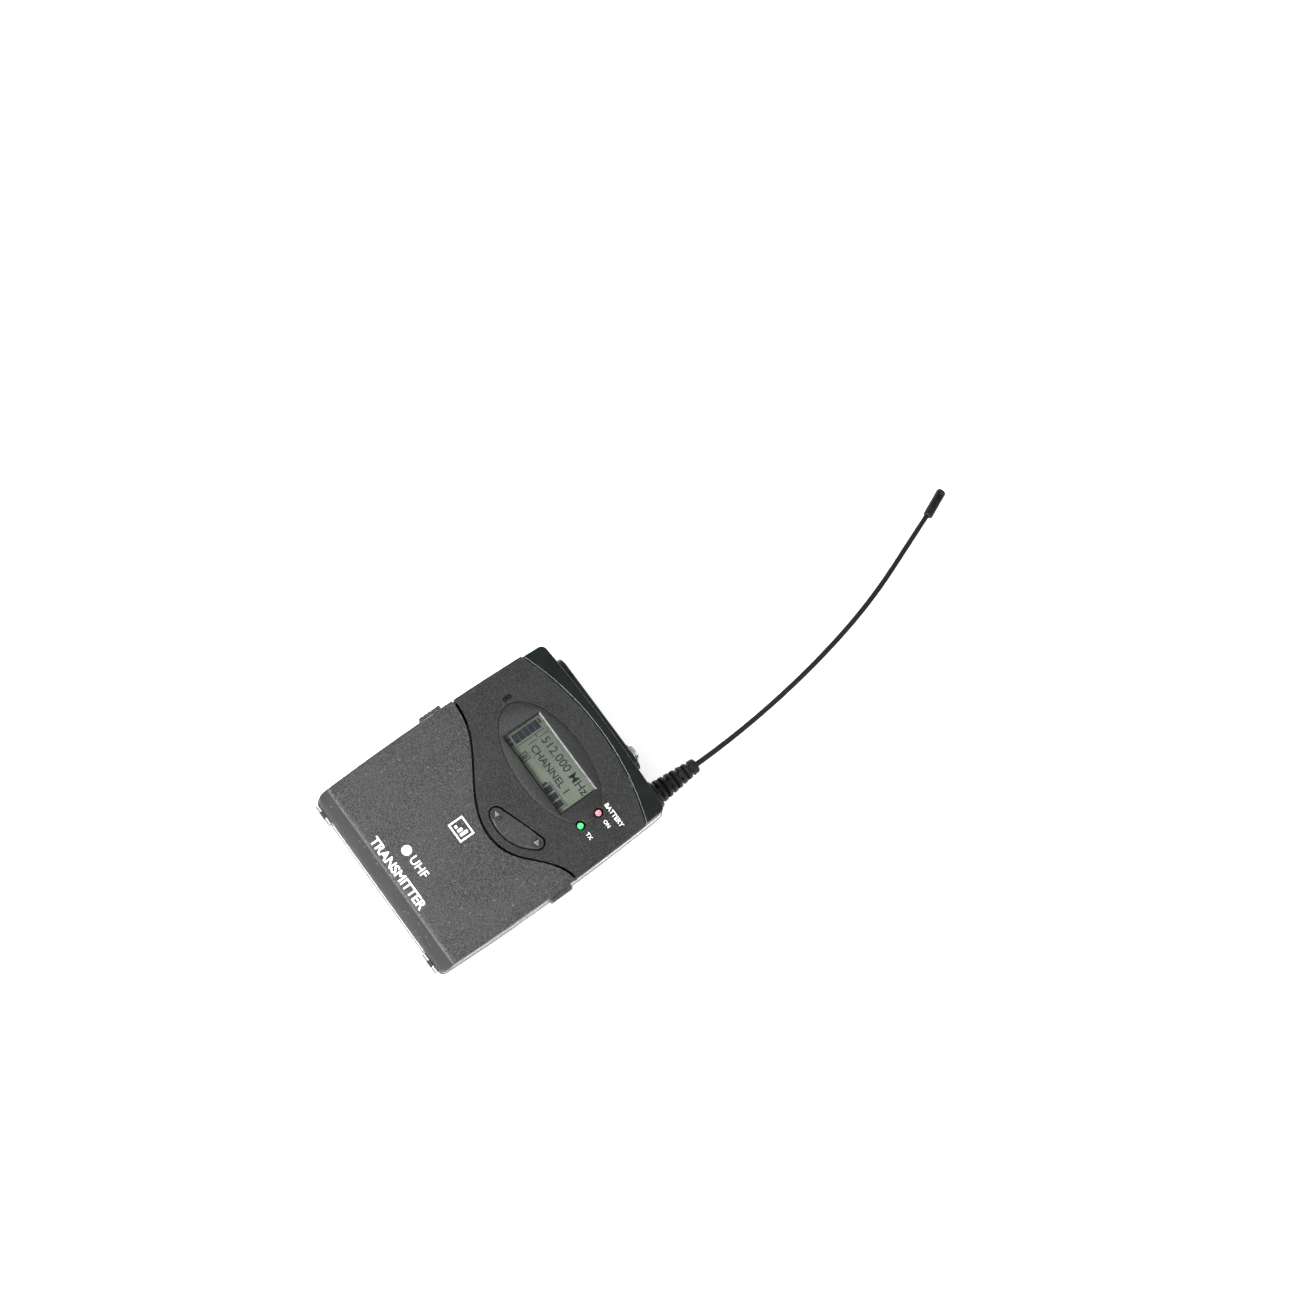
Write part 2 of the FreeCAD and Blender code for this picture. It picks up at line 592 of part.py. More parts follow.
# ---------------------------------------------------------------- boards
def main_board():
    board = box(-BOARD_HALF, BOARD_HALF, -5.4, 37.2, MAIN_Z, MAIN_Z + BOARD_T)
    board = board.cut(box(JACK_X - 6.0, JACK_X + 6.0, 26.5, 45, 0, 40))
    board = board.cut(box(18.0 - 2.2, BOARD_HALF + 1, 33.0, 45, 0, 40))
    board = board.cut(box(-16, -2, 33.8, 45, 0, 40))
    for x, y in BOARD_POSTS:
        board = board.cut(cylinder(0.65, 20, (x, y, 0)))
    return board


def control_board():
    board = box(-BOARD_HALF, BOARD_HALF, -5.2, 31.0, CONTROL_Z, CONTROL_Z + BOARD_T)
    return board.cut(box(-BOARD_HALF - 1, -BOARD_HALF + 1.5, -6, 8, 0, 40))


def board_chips():
    chips = []
    for x, y, w, d, h in [(-14, 4, 9, 9, 1.2), (2, 2, 7, 5, 1.1), (14, 5, 6, 8, 1.3), (6, 18, 6, 6, 1.0)]:
        z = MAIN_Z + BOARD_T
        chips.append(box(x - w / 2, x + w / 2, y - d / 2, y + d / 2, z, z + h))
    return Part.Compound(chips)


def board_capacitors():
    z = MAIN_Z + BOARD_T
    return Part.Compound([cylinder(2.0, 4.6, (x, y, z)) for x, y in [(20, -1), (20, 17.5), (14.5, 13)]])


def rf_shield():
    can = box(-20, -2, 14, 32, MAIN_Z + BOARD_T, 14.6)
    can = can.makeFillet(0.5, [e for e in can.Edges if e.BoundBox.ZMin > 14.5 or is_upright(e)])
    return can.cut(box(-19.6, -2.4, 14.4, 31.6, 0, 14.2))


def board_screws():
    screws = []
    for x, y in BOARD_POSTS:
        head = cylinder(1.3, 0.9, (x, y, MAIN_Z + BOARD_T))
        screws.append(head.fuse(cylinder(0.58, 2.4, (x, y, MAIN_Z + BOARD_T - 2.4))))
    return Part.Compound(screws)


# ---------------------------------------------------------------- jack, mute switch and antenna
def jack_collar():
    """Bush with the plug's bore; its outer end carries the locking thread."""
    foot = BEZEL_Y + 0.15
    outside = cylinder(COLLAR_R, COLLAR_TIP_Y - foot, (JACK_X, foot, CONNECTOR_Z), Y_AXIS)
    inside = cylinder(NECK_R, 12.0, (JACK_X, BEZEL_Y - 11.1, CONNECTOR_Z), Y_AXIS)
    tip = [e for e in outside.Edges if e.BoundBox.YMin > COLLAR_TIP_Y - 0.01]
    outside = outside.makeChamfer(0.3, tip)
    collar = fuse([outside, inside])
    return collar.cut(cylinder(JACK_BORE_R, 20, (JACK_X, 28, CONNECTOR_Z), Y_AXIS))


def jack_body():
    body = box(JACK_X - 5.2, JACK_X + 5.2, 27.2, 38.8, CONNECTOR_Z - 3.6, CONNECTOR_Z + 3.5)
    return body.cut(cylinder(NECK_R, 20, (JACK_X, BEZEL_Y - 11.1, CONNECTOR_Z), Y_AXIS))


def jack_contacts():
    tails = []
    for x in (JACK_X - 3.6, JACK_X, JACK_X + 3.6):
        tail = box(x - 0.6, x + 0.6, 26.9, 27.2, CONNECTOR_Z - 2.0, CONNECTOR_Z + 1.5)
        foot = box(x - 0.6, x + 0.6, 24.9, 27.2, MAIN_Z + BOARD_T, MAIN_Z + BOARD_T + 0.3)
        tails.append(tail.fuse(foot))
    return Part.Compound(tails)


BOOT_LENGTH = 16.9
RING_COUNT = 7


def antenna_boot():
    """Tapered rubber sleeve with a solid foot and separate rings for bending."""
    end = BOOT_START + BOOT_LENGTH
    core = Part.makeCone(3.1, 1.75, BOOT_LENGTH, V(ANTENNA_X, BOOT_START, CONNECTOR_Z), Y_AXIS)
    rings = [cylinder(4.5, 1.5, (ANTENNA_X, BOOT_START, CONNECTOR_Z), Y_AXIS)]
    pitch = (BOOT_LENGTH - 2.6) / RING_COUNT
    for i in range(RING_COUNT):
        y = BOOT_START + 2.6 + i * pitch
        r = 4.1 - 1.75 * (y - BOOT_START) / BOOT_LENGTH
        rings.append(cylinder(r, pitch * 0.58, (ANTENNA_X, y, CONNECTOR_Z), Y_AXIS))
    tip = cylinder(2.2, 1.2, (ANTENNA_X, end - 1.2, CONNECTOR_Z), Y_AXIS)
    boot = fuse([core] + rings + [tip])
    boot = boot.cut(cylinder(1.6, WHIP_START - BOOT_START, (ANTENNA_X, BOOT_START, CONNECTOR_Z), Y_AXIS))
    return boot.cut(cylinder(WHIP_R, 40, (ANTENNA_X, BOOT_START, CONNECTOR_Z), Y_AXIS))


WHIP_PATH = [(ANTENNA_X, WHIP_START), (ANTENNA_X, 74.0), (21.6, 103.0), (15.6, 134.0), (0.3, 176.6)]
TIP_LENGTH = 9.4


def antenna_whip():
    points = [(x, y, CONNECTOR_Z) for x, y in WHIP_PATH]
    return round_sweep(rounded_path(points, [290, 300, 200]), WHIP_R)


def antenna_tip():
    """Moulded end cap of the whip."""
    last = V(WHIP_PATH[-1][0], WHIP_PATH[-1][1], CONNECTOR_Z)
    before = V(WHIP_PATH[-2][0], WHIP_PATH[-2][1], CONNECTOR_Z)
    along = (last - before).normalize()
    start = last - along * (TIP_LENGTH - 0.8)
    cap = Part.makeCylinder(1.55, TIP_LENGTH, start, along)
    ends = [e for e in cap.Edges if e.Closed]
    cap = cap.makeFillet(0.5, ends)
    return cap.cut(Part.makeCylinder(WHIP_R, TIP_LENGTH - 0.8, start, along))


def antenna_base():
    foot = (ANTENNA_X, 33.0, CONNECTOR_Z)
    stud = cylinder(NECK_R, BOOT_START - foot[1], foot, Y_AXIS)
    return stud.fuse(cylinder(1.58, WHIP_START - foot[1], foot, Y_AXIS))


def antenna_nut():
    ring = Part.Wire(Part.makePolygon([
        V(ANTENNA_X + 3.9 * math.cos(math.radians(60 * k)), 36.8,
          CONNECTOR_Z + 3.9 * math.sin(math.radians(60 * k))) for k in range(7)]))
    nut = Part.Face(ring).extrude(V(0, 2.0, 0))
    return nut.cut(cylinder(NECK_R, 8, (ANTENNA_X, 33, CONNECTOR_Z), Y_AXIS))


def antenna_contact():
    strip = box(ANTENNA_X - 1.2, ANTENNA_X + 0.1, 29.5, 33.0, MAIN_Z + BOARD_T, MAIN_Z + BOARD_T + 0.3)
    rise = box(ANTENNA_X - 1.2, ANTENNA_X + 0.1, 32.6, 33.0, MAIN_Z + BOARD_T, CONNECTOR_Z + 1.0)
    return strip.fuse(rise)


def mute_slider():
    knob = box(-13.2, -9.2, 41.95, 43.1, CONNECTOR_Z - 1.6, CONNECTOR_Z + 1.6)
    knob = knob.makeFillet(0.3, [e for e in knob.Edges if e.BoundBox.YMin > 43.0])
    for k in range(3):
        x = -12.25 + k * 0.9
        knob = knob.cut(box(x, x + 0.35, 42.9, 44, CONNECTOR_Z - 2, CONNECTOR_Z + 2))
    stem = box(-12.2, -10.2, 39.4, 42.0, CONNECTOR_Z - 0.7, CONNECTOR_Z + 0.7)
    return fuse([knob, stem])


def mute_switch_body():
    body = box(-15.0, -3.0, 35.0, 40.1, CONNECTOR_Z - 2.9, CONNECTOR_Z + 2.9)
    return body.cut(box(-13.2, -5.8, 39.1, 41, CONNECTOR_Z - 1.0, CONNECTOR_Z + 1.0))


# ---------------------------------------------------------------- catches and clip
def catch_right():
    y0, y1 = CATCH_Y - CATCH_LENGTH / 2, CATCH_Y + CATCH_LENGTH / 2
    head = box(29.0, CATCH_TIP_X, y0, y1, CATCH_Z[0], CATCH_Z[1])
    head = head.makeFillet(0.45, [e for e in head.Edges if e.BoundBox.XMin > CATCH_TIP_X - 0.01])
    # grip grooves across the thumb face
    for k in range(4):
        y = y0 + 1.3 + k * 1.4
        head = head.cut(box(CATCH_TIP_X - 0.25, CATCH_TIP_X + 1, y, y + 0.4, 0, 40))
    flange = box(28.8, 29.8, y0 - 0.9, y1 + 0.9, CATCH_Z[0] - 0.4, CATCH_Z[1] + 0.4)
    tongue = box(28.9, 29.7, CATCH_Y - 2.2, CATCH_Y + 2.2, 14.4, CATCH_Z[0])
    nose = box(28.9, 30.2, CATCH_Y - 2.2, CATCH_Y + 2.2, 14.4, 15.4)
    return fuse([head, flange, tongue, nose])


def catch_spring():
    return coil((25.35, CATCH_Y, 20.3), 1, 1.2, 0.2, 3.2, 4.0)


def belt_clip():
    """One bent spring wire: two legs, a flared cross bar, and ends turned in to the lugs."""
    y0, z0 = CLIP_PIVOT
    half = [(LUG_X[0] - 0.4, y0, z0), (CLIP_LEG_X, y0, z0), (CLIP_LEG_X, 11.5, CLIP_WIRE_R),
            (CLIP_LEG_X, -19.0, CLIP_WIRE_R), (CLIP_LEG_X, -27.0, 5.3), (CLIP_LEG_X, -32.0, 3.6)]
    other = [(-x, y, z) for x, y, z in reversed(half)]
    bends = [1.4, 4.0, 6.0, 5.0, 3.5, 3.5, 5.0, 6.0, 4.0, 1.4]
    return round_sweep(rounded_path(half + other, bends), CLIP_WIRE_R)


def housing_screws():
    screws = []
    for x, y in PANEL_POSTS + CAP_POSTS:
        head = Part.makeCone(2.0, SCREW_R, 1.0, V(x, y, Z_BACK + 0.05))
        head = head.cut(box(x - 1.2, x + 1.2, y - 0.25, y + 0.25, 0, Z_BACK + 0.45))
        head = head.cut(box(x - 0.25, x + 0.25, y - 1.2, y + 1.2, 0, Z_BACK + 0.45))
        screws.append(head.fuse(cylinder(0.79, 4.8, (x, y, Z_BACK + 1.0))))
    return Part.Compound(screws)


# ---------------------------------------------------------------- build
shell = front_shell()
catch = catch_right()
spring = catch_spring()
hinge_pin = hinge_cylinder(HINGE_START, HINGE_START + HINGE_LENGTH, HINGE_PIN_R)
red_y, green_y = LED_YS["led_red"], LED_YS["led_green"]
cell_upper, cell_lower = CELL_ROWS

PIECES = {
    "rear_housing": rear_housing(),
    "front_panel": front_panel(shell),
    "battery_cover": battery_cover(shell),
    "top_cap": top_cap(),
    "end_bezel": end_bezel(),
    "hinge_pin_right": hinge_pin,
    "hinge_pin_left": mirrored(hinge_pin),
    "catch_right": catch,
    "catch_left": mirrored(catch),
    "catch_spring_right": spring,
    "catch_spring_left": mirrored(spring),
    "cover_pad": box(-16, 16, -33, -10, Z_FRONT - PLATE - 0.5, Z_FRONT - PLATE),
    "display_lens": display_lens(),
    "lcd_glass": framed(LCD_X, LCD_Y, GLASS_Z[0], GLASS_Z[1]),
    "lcd_frame": lcd_frame(),
    "backlight": framed(LCD_X - 1.2, LCD_Y - 1.6, CONTROL_Z + BOARD_T, GLASS_Z[0] - 0.05),
    "contact_strips": contact_strips(),
    "led_red": led(red_y),
    "led_green": led(green_y),
    "ir_window": ir_window(),
    "rocker_button": rocker_button(),
    "power_button": key_cap("power_button"),
    "set_button": key_cap("set_button"),
    "key_switches": key_switches(),
    "inner_frame": inner_frame(),
    "battery_upper": battery(cell_upper, 1),
    "battery_lower": battery(cell_lower, -1),
    "plate_contact_left": fuse([contact_plate(-1, [cell_lower]), dimple(-1, cell_lower)]),
    "spring_seat_left": contact_plate(-1, [cell_upper]),
    "bridge_contact": fuse([contact_plate(1, [cell_upper, cell_lower]), dimple(1, cell_upper)]),
    "battery_spring_left": battery_spring(-1, cell_upper),
    "battery_spring_right": battery_spring(1, cell_lower),
    "main_board": main_board(),
    "control_board": control_board(),
    "board_connector": box(-8, 8, 9.4, 12.2, MAIN_Z + BOARD_T, CONTROL_Z),
    "board_chips": board_chips(),
    "board_capacitors": board_capacitors(),
    "crystal": slot_prism(-2.4, 5.6, 8.0 - 2.6, 8.0 + 0.6, MAIN_Z + BOARD_T, 13.4, 1.2),
    "rf_shield": rf_shield(),
    "board_screws": board_screws(),
    "jack_collar": jack_collar(),
    "jack_body": jack_body(),
    "jack_contacts": jack_contacts(),
    "mute_slider": mute_slider(),
    "mute_switch_body": mute_switch_body(),
    "antenna_boot": antenna_boot(),
    "antenna_whip": antenna_whip(),
    "antenna_tip": antenna_tip(),
    "antenna_base": antenna_base(),
    "antenna_nut": antenna_nut(),
    "antenna_contact": antenna_contact(),
    "belt_clip": belt_clip(),
    "rating_label": slot_prism(-12.8, 12.8, -36.3, -27.7, Z_BACK + 0.1, Z_BACK + 0.25, 0.9),
    "housing_screws": housing_screws(),
}
for node_name, node_shape in PIECES.items():
    node_shape.exportStep("parts/" + node_name + ".step")
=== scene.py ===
import json
import math

import bpy
from mathutils import Matrix, Vector


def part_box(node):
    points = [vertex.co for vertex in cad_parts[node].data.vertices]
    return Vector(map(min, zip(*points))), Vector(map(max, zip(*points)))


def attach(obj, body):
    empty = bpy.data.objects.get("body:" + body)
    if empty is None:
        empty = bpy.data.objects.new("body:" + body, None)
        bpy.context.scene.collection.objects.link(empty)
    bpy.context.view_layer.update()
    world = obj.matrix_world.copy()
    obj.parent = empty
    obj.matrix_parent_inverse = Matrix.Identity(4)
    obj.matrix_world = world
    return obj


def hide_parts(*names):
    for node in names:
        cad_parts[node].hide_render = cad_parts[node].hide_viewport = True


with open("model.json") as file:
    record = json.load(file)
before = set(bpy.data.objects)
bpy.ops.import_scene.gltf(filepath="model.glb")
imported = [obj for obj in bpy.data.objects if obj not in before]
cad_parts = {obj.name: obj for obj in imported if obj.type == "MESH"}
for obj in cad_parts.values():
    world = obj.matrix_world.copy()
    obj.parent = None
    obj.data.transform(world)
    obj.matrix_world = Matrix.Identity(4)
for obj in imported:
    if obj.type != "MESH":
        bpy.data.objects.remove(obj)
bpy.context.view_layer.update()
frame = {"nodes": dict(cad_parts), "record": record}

MM = 0.001
nodes = frame["nodes"]
bpy.ops.object.select_all(action="DESELECT")


# ---- Camera
# A short telephoto about 60 cm above the transmitter, a little below its lower right corner,
# rolled so that the aerial points to the upper right.
camera_place = Vector((0.0603, -0.1041, 0.5884))
camera_target = Vector((-0.0080, 0.0654, 0.0244))
camera_roll = math.radians(32.1)
camera_lens = 54.9

bpy.ops.object.camera_add(location=camera_place)
camera = bpy.context.object
camera.name = "camera"
aim = (camera_target - camera_place).to_track_quat("-Z", "Y").to_matrix()
camera.rotation_euler = (aim @ Matrix.Rotation(camera_roll, 3, "Z")).to_euler()
camera.data.lens = camera_lens
camera.data.sensor_width = 36.0
camera.data.clip_start = 0.01
bpy.context.scene.camera = camera


# ---- Floor and light
# A white table top, a little luminous itself, in a pale grey room. A large soft box hangs overhead,
# a low strip in front lights the edges facing it, a weak box fills from the right, and a small box
# close in front gives the cover a sheen that falls off along the device.
bpy.ops.mesh.primitive_plane_add(size=8.0)
floor = bpy.context.object
floor.name = "table_top"
table_paint = bpy.data.materials.new("table_paint")
table_paint.use_nodes = True
table_shader = table_paint.node_tree.nodes["Principled BSDF"]
table_shader.inputs["Base Color"].default_value = (0.92, 0.92, 0.915, 1)
table_shader.inputs["Roughness"].default_value = 0.7
table_shader.inputs["Specular IOR Level"].default_value = 0.2
table_shader.inputs["Emission Color"].default_value = (1.0, 1.0, 0.995, 1)
table_shader.inputs["Emission Strength"].default_value = 0.50
floor.data.materials.append(table_paint)

for name, place, wide, high, power in [
        ("overhead_box", (0.0, -0.62, 1.10), 1.40, 1.40, 7.8),
        ("front_strip", (0.05, -0.95, 0.26), 0.90, 0.12, 4.5),
        ("side_box", (0.95, 0.55, 0.90), 0.60, 0.60, 3.0),
        ("near_box", (-0.02, -0.30, 0.30), 0.26, 0.14, 4.6)]:
    bpy.ops.object.light_add(type="AREA", location=place)
    lamp = bpy.context.object
    lamp.name = name
    lamp.data.shape = "RECTANGLE"
    lamp.data.size = wide
    lamp.data.size_y = high
    lamp.data.energy = power
    lamp.rotation_euler = (Vector((0, 0, 0)) - Vector(place)).to_track_quat("-Z", "Y").to_euler()

room = bpy.data.worlds.new("pale_room")
room.use_nodes = True
room_tree = room.node_tree
room_light = room_tree.nodes["Background"]
room_light.inputs["Strength"].default_value = 1.0
sky = room_tree.nodes.new("ShaderNodeTexCoord")
sky_axes = room_tree.nodes.new("ShaderNodeSeparateXYZ")
sky_shade = room_tree.nodes.new("ShaderNodeValToRGB")
sky_shade.color_ramp.elements[0].position = 0.10
sky_shade.color_ramp.elements[0].color = (0.42, 0.42, 0.42, 1)
sky_shade.color_ramp.elements[1].position = 0.80
sky_shade.color_ramp.elements[1].color = (0.49, 0.49, 0.49, 1)
room_tree.links.new(sky.outputs["Generated"], sky_axes.inputs["Vector"])
room_tree.links.new(sky_axes.outputs["Z"], sky_shade.inputs["Fac"])
room_tree.links.new(sky_shade.outputs["Color"], room_light.inputs["Color"])
bpy.context.scene.world = room
bpy.context.scene.view_settings.view_transform = "Standard"


# ---- Rear housing
# The tub that holds everything: die-cast metal with a smooth graphite paint. Its rim is machined
# flat after painting and shows the bare metal; a few edges are rubbed thin.
def finish(name, colour, roughness, metallic=0.0):
    """A new material with its node tree and its shader."""
    material = bpy.data.materials.new(name)
    material.use_nodes = True
    tree = material.node_tree
    shader = tree.nodes["Principled BSDF"]
    shader.inputs["Base Color"].default_value = (*colour, 1)
    shader.inputs["Roughness"].default_value = roughness
    shader.inputs["Metallic"].default_value = metallic
    return material, tree, shader


def grain(tree, size, detail=3.0, stretch=(1, 1, 1)):
    """Cloudy noise with features of about SIZE metres, 0 to 1, on the piece's own coordinates."""
    place = tree.nodes.new("ShaderNodeTexCoord")
    turn = tree.nodes.new("ShaderNodeMapping")
    turn.inputs["Scale"].default_value = stretch
    noise = tree.nodes.new("ShaderNodeTexNoise")
    noise.inputs["Scale"].default_value = 1 / size
    noise.inputs["Detail"].default_value = detail
    tree.links.new(place.outputs["Object"], turn.inputs["Vector"])
    tree.links.new(turn.outputs["Vector"], noise.inputs["Vector"])
    return noise.outputs["Fac"]


def pebbles(tree, size, stretch=(1, 1, 1)):
    """Rounded cells of about SIZE metres: 0 in their middles, rising to their borders."""
    place = tree.nodes.new("ShaderNodeTexCoord")
    turn = tree.nodes.new("ShaderNodeMapping")
    turn.inputs["Scale"].default_value = stretch
    cells = tree.nodes.new("ShaderNodeTexVoronoi")
    cells.inputs["Scale"].default_value = 1 / size
    tree.links.new(place.outputs["Object"], turn.inputs["Vector"])
    tree.links.new(turn.outputs["Vector"], cells.inputs["Vector"])
    return cells.outputs["Distance"]


def spread(tree, value, start, end, low=0.0, high=1.0):
    """VALUE between START and END becomes LOW to HIGH."""
    map_range = tree.nodes.new("ShaderNodeMapRange")
    map_range.interpolation_type = "SMOOTHSTEP"
    limits = {"From Min": start, "From Max": end, "To Min": low, "To Max": high}
    for socket, number in limits.items():
        map_range.inputs[socket].default_value = number
    tree.links.new(value, map_range.inputs["Value"])
    return map_range.outputs["Result"]


def product(tree, first, second):
    """Two masks multiplied."""
    maths = tree.nodes.new("ShaderNodeMath")
    maths.operation = "MULTIPLY"
    tree.links.new(first, maths.inputs[0])
    tree.links.new(second, maths.inputs[1])
    return maths.outputs["Value"]


def total(tree, first, second, share=1.0):
    """FIRST plus SHARE of SECOND."""
    maths = tree.nodes.new("ShaderNodeMath")
    maths.operation = "MULTIPLY_ADD"
    tree.links.new(second, maths.inputs[0])
    maths.inputs[1].default_value = share
    tree.links.new(first, maths.inputs[2])
    return maths.outputs["Value"]


def blend_colours(tree, mask, under, over):
    """UNDER where MASK is 0, OVER where it is 1. Either may be a colour or a socket."""
    mix = tree.nodes.new("ShaderNodeMix")
    mix.data_type = "RGBA"
    tree.links.new(mask, mix.inputs["Factor"])
    for socket, colour in ((mix.inputs[6], under), (mix.inputs[7], over)):
        if isinstance(colour, tuple):
            socket.default_value = (*colour, 1)
        else:
            tree.links.new(colour, socket)
    return mix.outputs[2]


def edges(tree, reach):
    """1 on outer and inner edges within about REACH metres, 0 on open faces."""
    rounded = tree.nodes.new("ShaderNodeBevel")
    rounded.samples = 4
    rounded.inputs["Radius"].default_value = reach
    true = tree.nodes.new("ShaderNodeNewGeometry")
    dot = tree.nodes.new("ShaderNodeVectorMath")
    dot.operation = "DOT_PRODUCT"
    tree.links.new(rounded.outputs["Normal"], dot.inputs[0])
    tree.links.new(true.outputs["Normal"], dot.inputs[1])
    return spread(tree, dot.outputs["Value"], 0.97, 0.75)


def relief(tree, shader, height, depth, strength=1.0):
    """Presses HEIGHT, 0 to 1, into the surface DEPTH metres deep."""
    bump = tree.nodes.new("ShaderNodeBump")
    bump.inputs["Distance"].default_value = depth
    bump.inputs["Strength"].default_value = strength
    tree.links.new(height, bump.inputs["Height"])
    tree.links.new(bump.outputs["Normal"], shader.inputs["Normal"])


def dress(material, *names):
    """Gives CAD nodes a finish."""
    for name in names:
        for place in nodes[name].material_slots:
            place.material = material


def own_axis(tree, axis):
    """One of the piece's own coordinates, in metres."""
    place = tree.nodes.new("ShaderNodeTexCoord")
    axes = tree.nodes.new("ShaderNodeSeparateXYZ")
    tree.links.new(place.outputs["Object"], axes.inputs["Vector"])
    return axes.outputs[axis]


rim_height = 17.4 * MM
rim_end = -39.3 * MM
housing_paint, tree, shader = finish("graphite_paint", (0.03, 0.031, 0.031), 0.2)
shader.inputs["Specular IOR Level"].default_value = 0.85
flake = spread(tree, grain(tree, 0.00018, 2), 0.35, 0.7)
handling = grain(tree, 0.012, 4)
worn = product(tree, edges(tree, 0.0004), spread(tree, grain(tree, 0.003, 6), 0.45, 0.62))
paint = blend_colours(tree, flake, (0.030, 0.032, 0.031), (0.050, 0.053, 0.051))
chipped = blend_colours(tree, worn, paint, (0.34, 0.34, 0.33))
ragged_height = total(tree, own_axis(tree, "Z"), grain(tree, 0.002, 4), 0.0001)
bare_rim = product(tree, spread(tree, ragged_height, rim_height - 0.15 * MM, rim_height),
                   spread(tree, own_axis(tree, "Y"), rim_end, rim_end + 1.0 * MM))
tree.links.new(blend_colours(tree, bare_rim, chipped, (0.90, 0.90, 0.89)),
               shader.inputs["Base Color"])
tree.links.new(spread(tree, bare_rim, 0, 1, 0.12, 1), shader.inputs["Metallic"])
tree.links.new(spread(tree, handling, 0.3, 0.7, 0.16, 0.28), shader.inputs["Roughness"])
relief(tree, shader, total(tree, flake, grain(tree, 0.0009, 3), 0.6), 0.000006)
dress(housing_paint, "rear_housing")


# ---- Front panel and battery cover
# Two injection-moulded plates of dark grey plastic with a spark-eroded texture and small painted
# glints as highlights. The cover is shinier from handling and painted paler, a lit copy of the
# panel's plastic;
# its curved end is smooth and painted darker as shade. The panel's openings are painted black
# inside as shade, but its own side walls, which start at WALL_FROM, stay grey.
wall_from = 30.5 * MM


def eroded_plastic(name, dark, light, gloss, depth=0.000045, smooth_from=None, painted_shade_below=None):
    """Pitted, speckled plastic with painted glints; smooth and painted darker as shade where Y <
    SMOOTH_FROM, and painted black as shade where Z < PAINTED_SHADE_BELOW.
    """
    material, tree, shader = finish(name, dark, gloss)
    shader.inputs["Specular IOR Level"].default_value = 0.34
    pits = grain(tree, 0.00034, 3)
    specks = spread(tree, pits, 0.40, 0.62)
    clouds = spread(tree, grain(tree, 0.014, 5), 0.3, 0.7)
    # Painted highlights: small pale glints laid into the colour, up to 0.35 towards the pale tone.
    painted_glints = spread(tree, grain(tree, 0.0011, 2), 0.66, 0.72)
    rubbed = product(tree, edges(tree, 0.00035), spread(tree, grain(tree, 0.002, 5), 0.4, 0.6))
    middle = tuple((d + l) / 2 for d, l in zip(dark, light))
    speckled = blend_colours(tree, specks, dark, light)
    if smooth_from is not None:
        smooth = spread(tree, own_axis(tree, "Y"), smooth_from + 0.2 * MM, smooth_from - 0.4 * MM)
        # Painted shade: the smooth curved end is coloured darker, 0.45 of the middle tone.
        speckled = blend_colours(tree, smooth, speckled, tuple(0.45 * value for value in middle))
        depth_share = spread(tree, smooth, 0, 1, 1, 0.15)
        tree.links.new(spread(tree, smooth, 0, 1, 0.34, 0.14), shader.inputs["Specular IOR Level"])
        pits = product(tree, pits, depth_share)
    body = blend_colours(tree, spread(tree, clouds, 0, 1, 0, 0.3), speckled, middle)
    pale = tuple(2.6 * value for value in light)
    glinted_colour = blend_colours(tree, spread(tree, painted_glints, 0, 1, 0, 0.35), body, pale)
    colour = blend_colours(tree, spread(tree, rubbed, 0, 1, 0, 0.45), glinted_colour, pale)
    # Painted shade: below this height the openings' walls are coloured near-black, as shade inside
    # the holes.
    if painted_shade_below is not None:
        painted_hole_shade = spread(tree, own_axis(tree, "Z"), painted_shade_below, painted_shade_below - 0.1 * MM)
        for side in (-1, 1):
            inside = spread(tree, own_axis(tree, "X"), side * wall_from,
                            side * (wall_from - 0.5 * MM))
            painted_hole_shade = product(tree, painted_hole_shade, inside)
        colour = blend_colours(tree, painted_hole_shade, colour, (0.001, 0.001, 0.001))
        tree.links.new(spread(tree, painted_hole_shade, 0, 1, 0.34, 0.02), shader.inputs["Specular IOR Level"])
    tree.links.new(colour, shader.inputs["Base Color"])
    sheen = spread(tree, clouds, 0, 1, gloss - 0.05, gloss + 0.06)
    if smooth_from is not None:
        sheen = total(tree, sheen, smooth, 0.25)
    tree.links.new(sheen, shader.inputs["Roughness"])
    relief(tree, shader, total(tree, pits, pebbles(tree, 0.0006), 0.35), depth)
    return material


panel_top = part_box("front_panel")[1].z
panel_plastic = eroded_plastic("panel_plastic", (0.005, 0.0056, 0.0052), (0.027, 0.029, 0.0275),
                               0.50, 0.00003, painted_shade_below=panel_top - 0.35 * MM)
curved_end = 4.9 * MM
# Painted light: the cover uses the panel's plastic in paler tones, a lit copy of it.
cover_plastic = eroded_plastic("cover_plastic", (0.012, 0.0128, 0.0120), (0.056, 0.059, 0.0555),
                               0.42, smooth_from=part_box("battery_cover")[0].y + curved_end)
dress(panel_plastic, "front_panel")
dress(cover_plastic, "battery_cover")


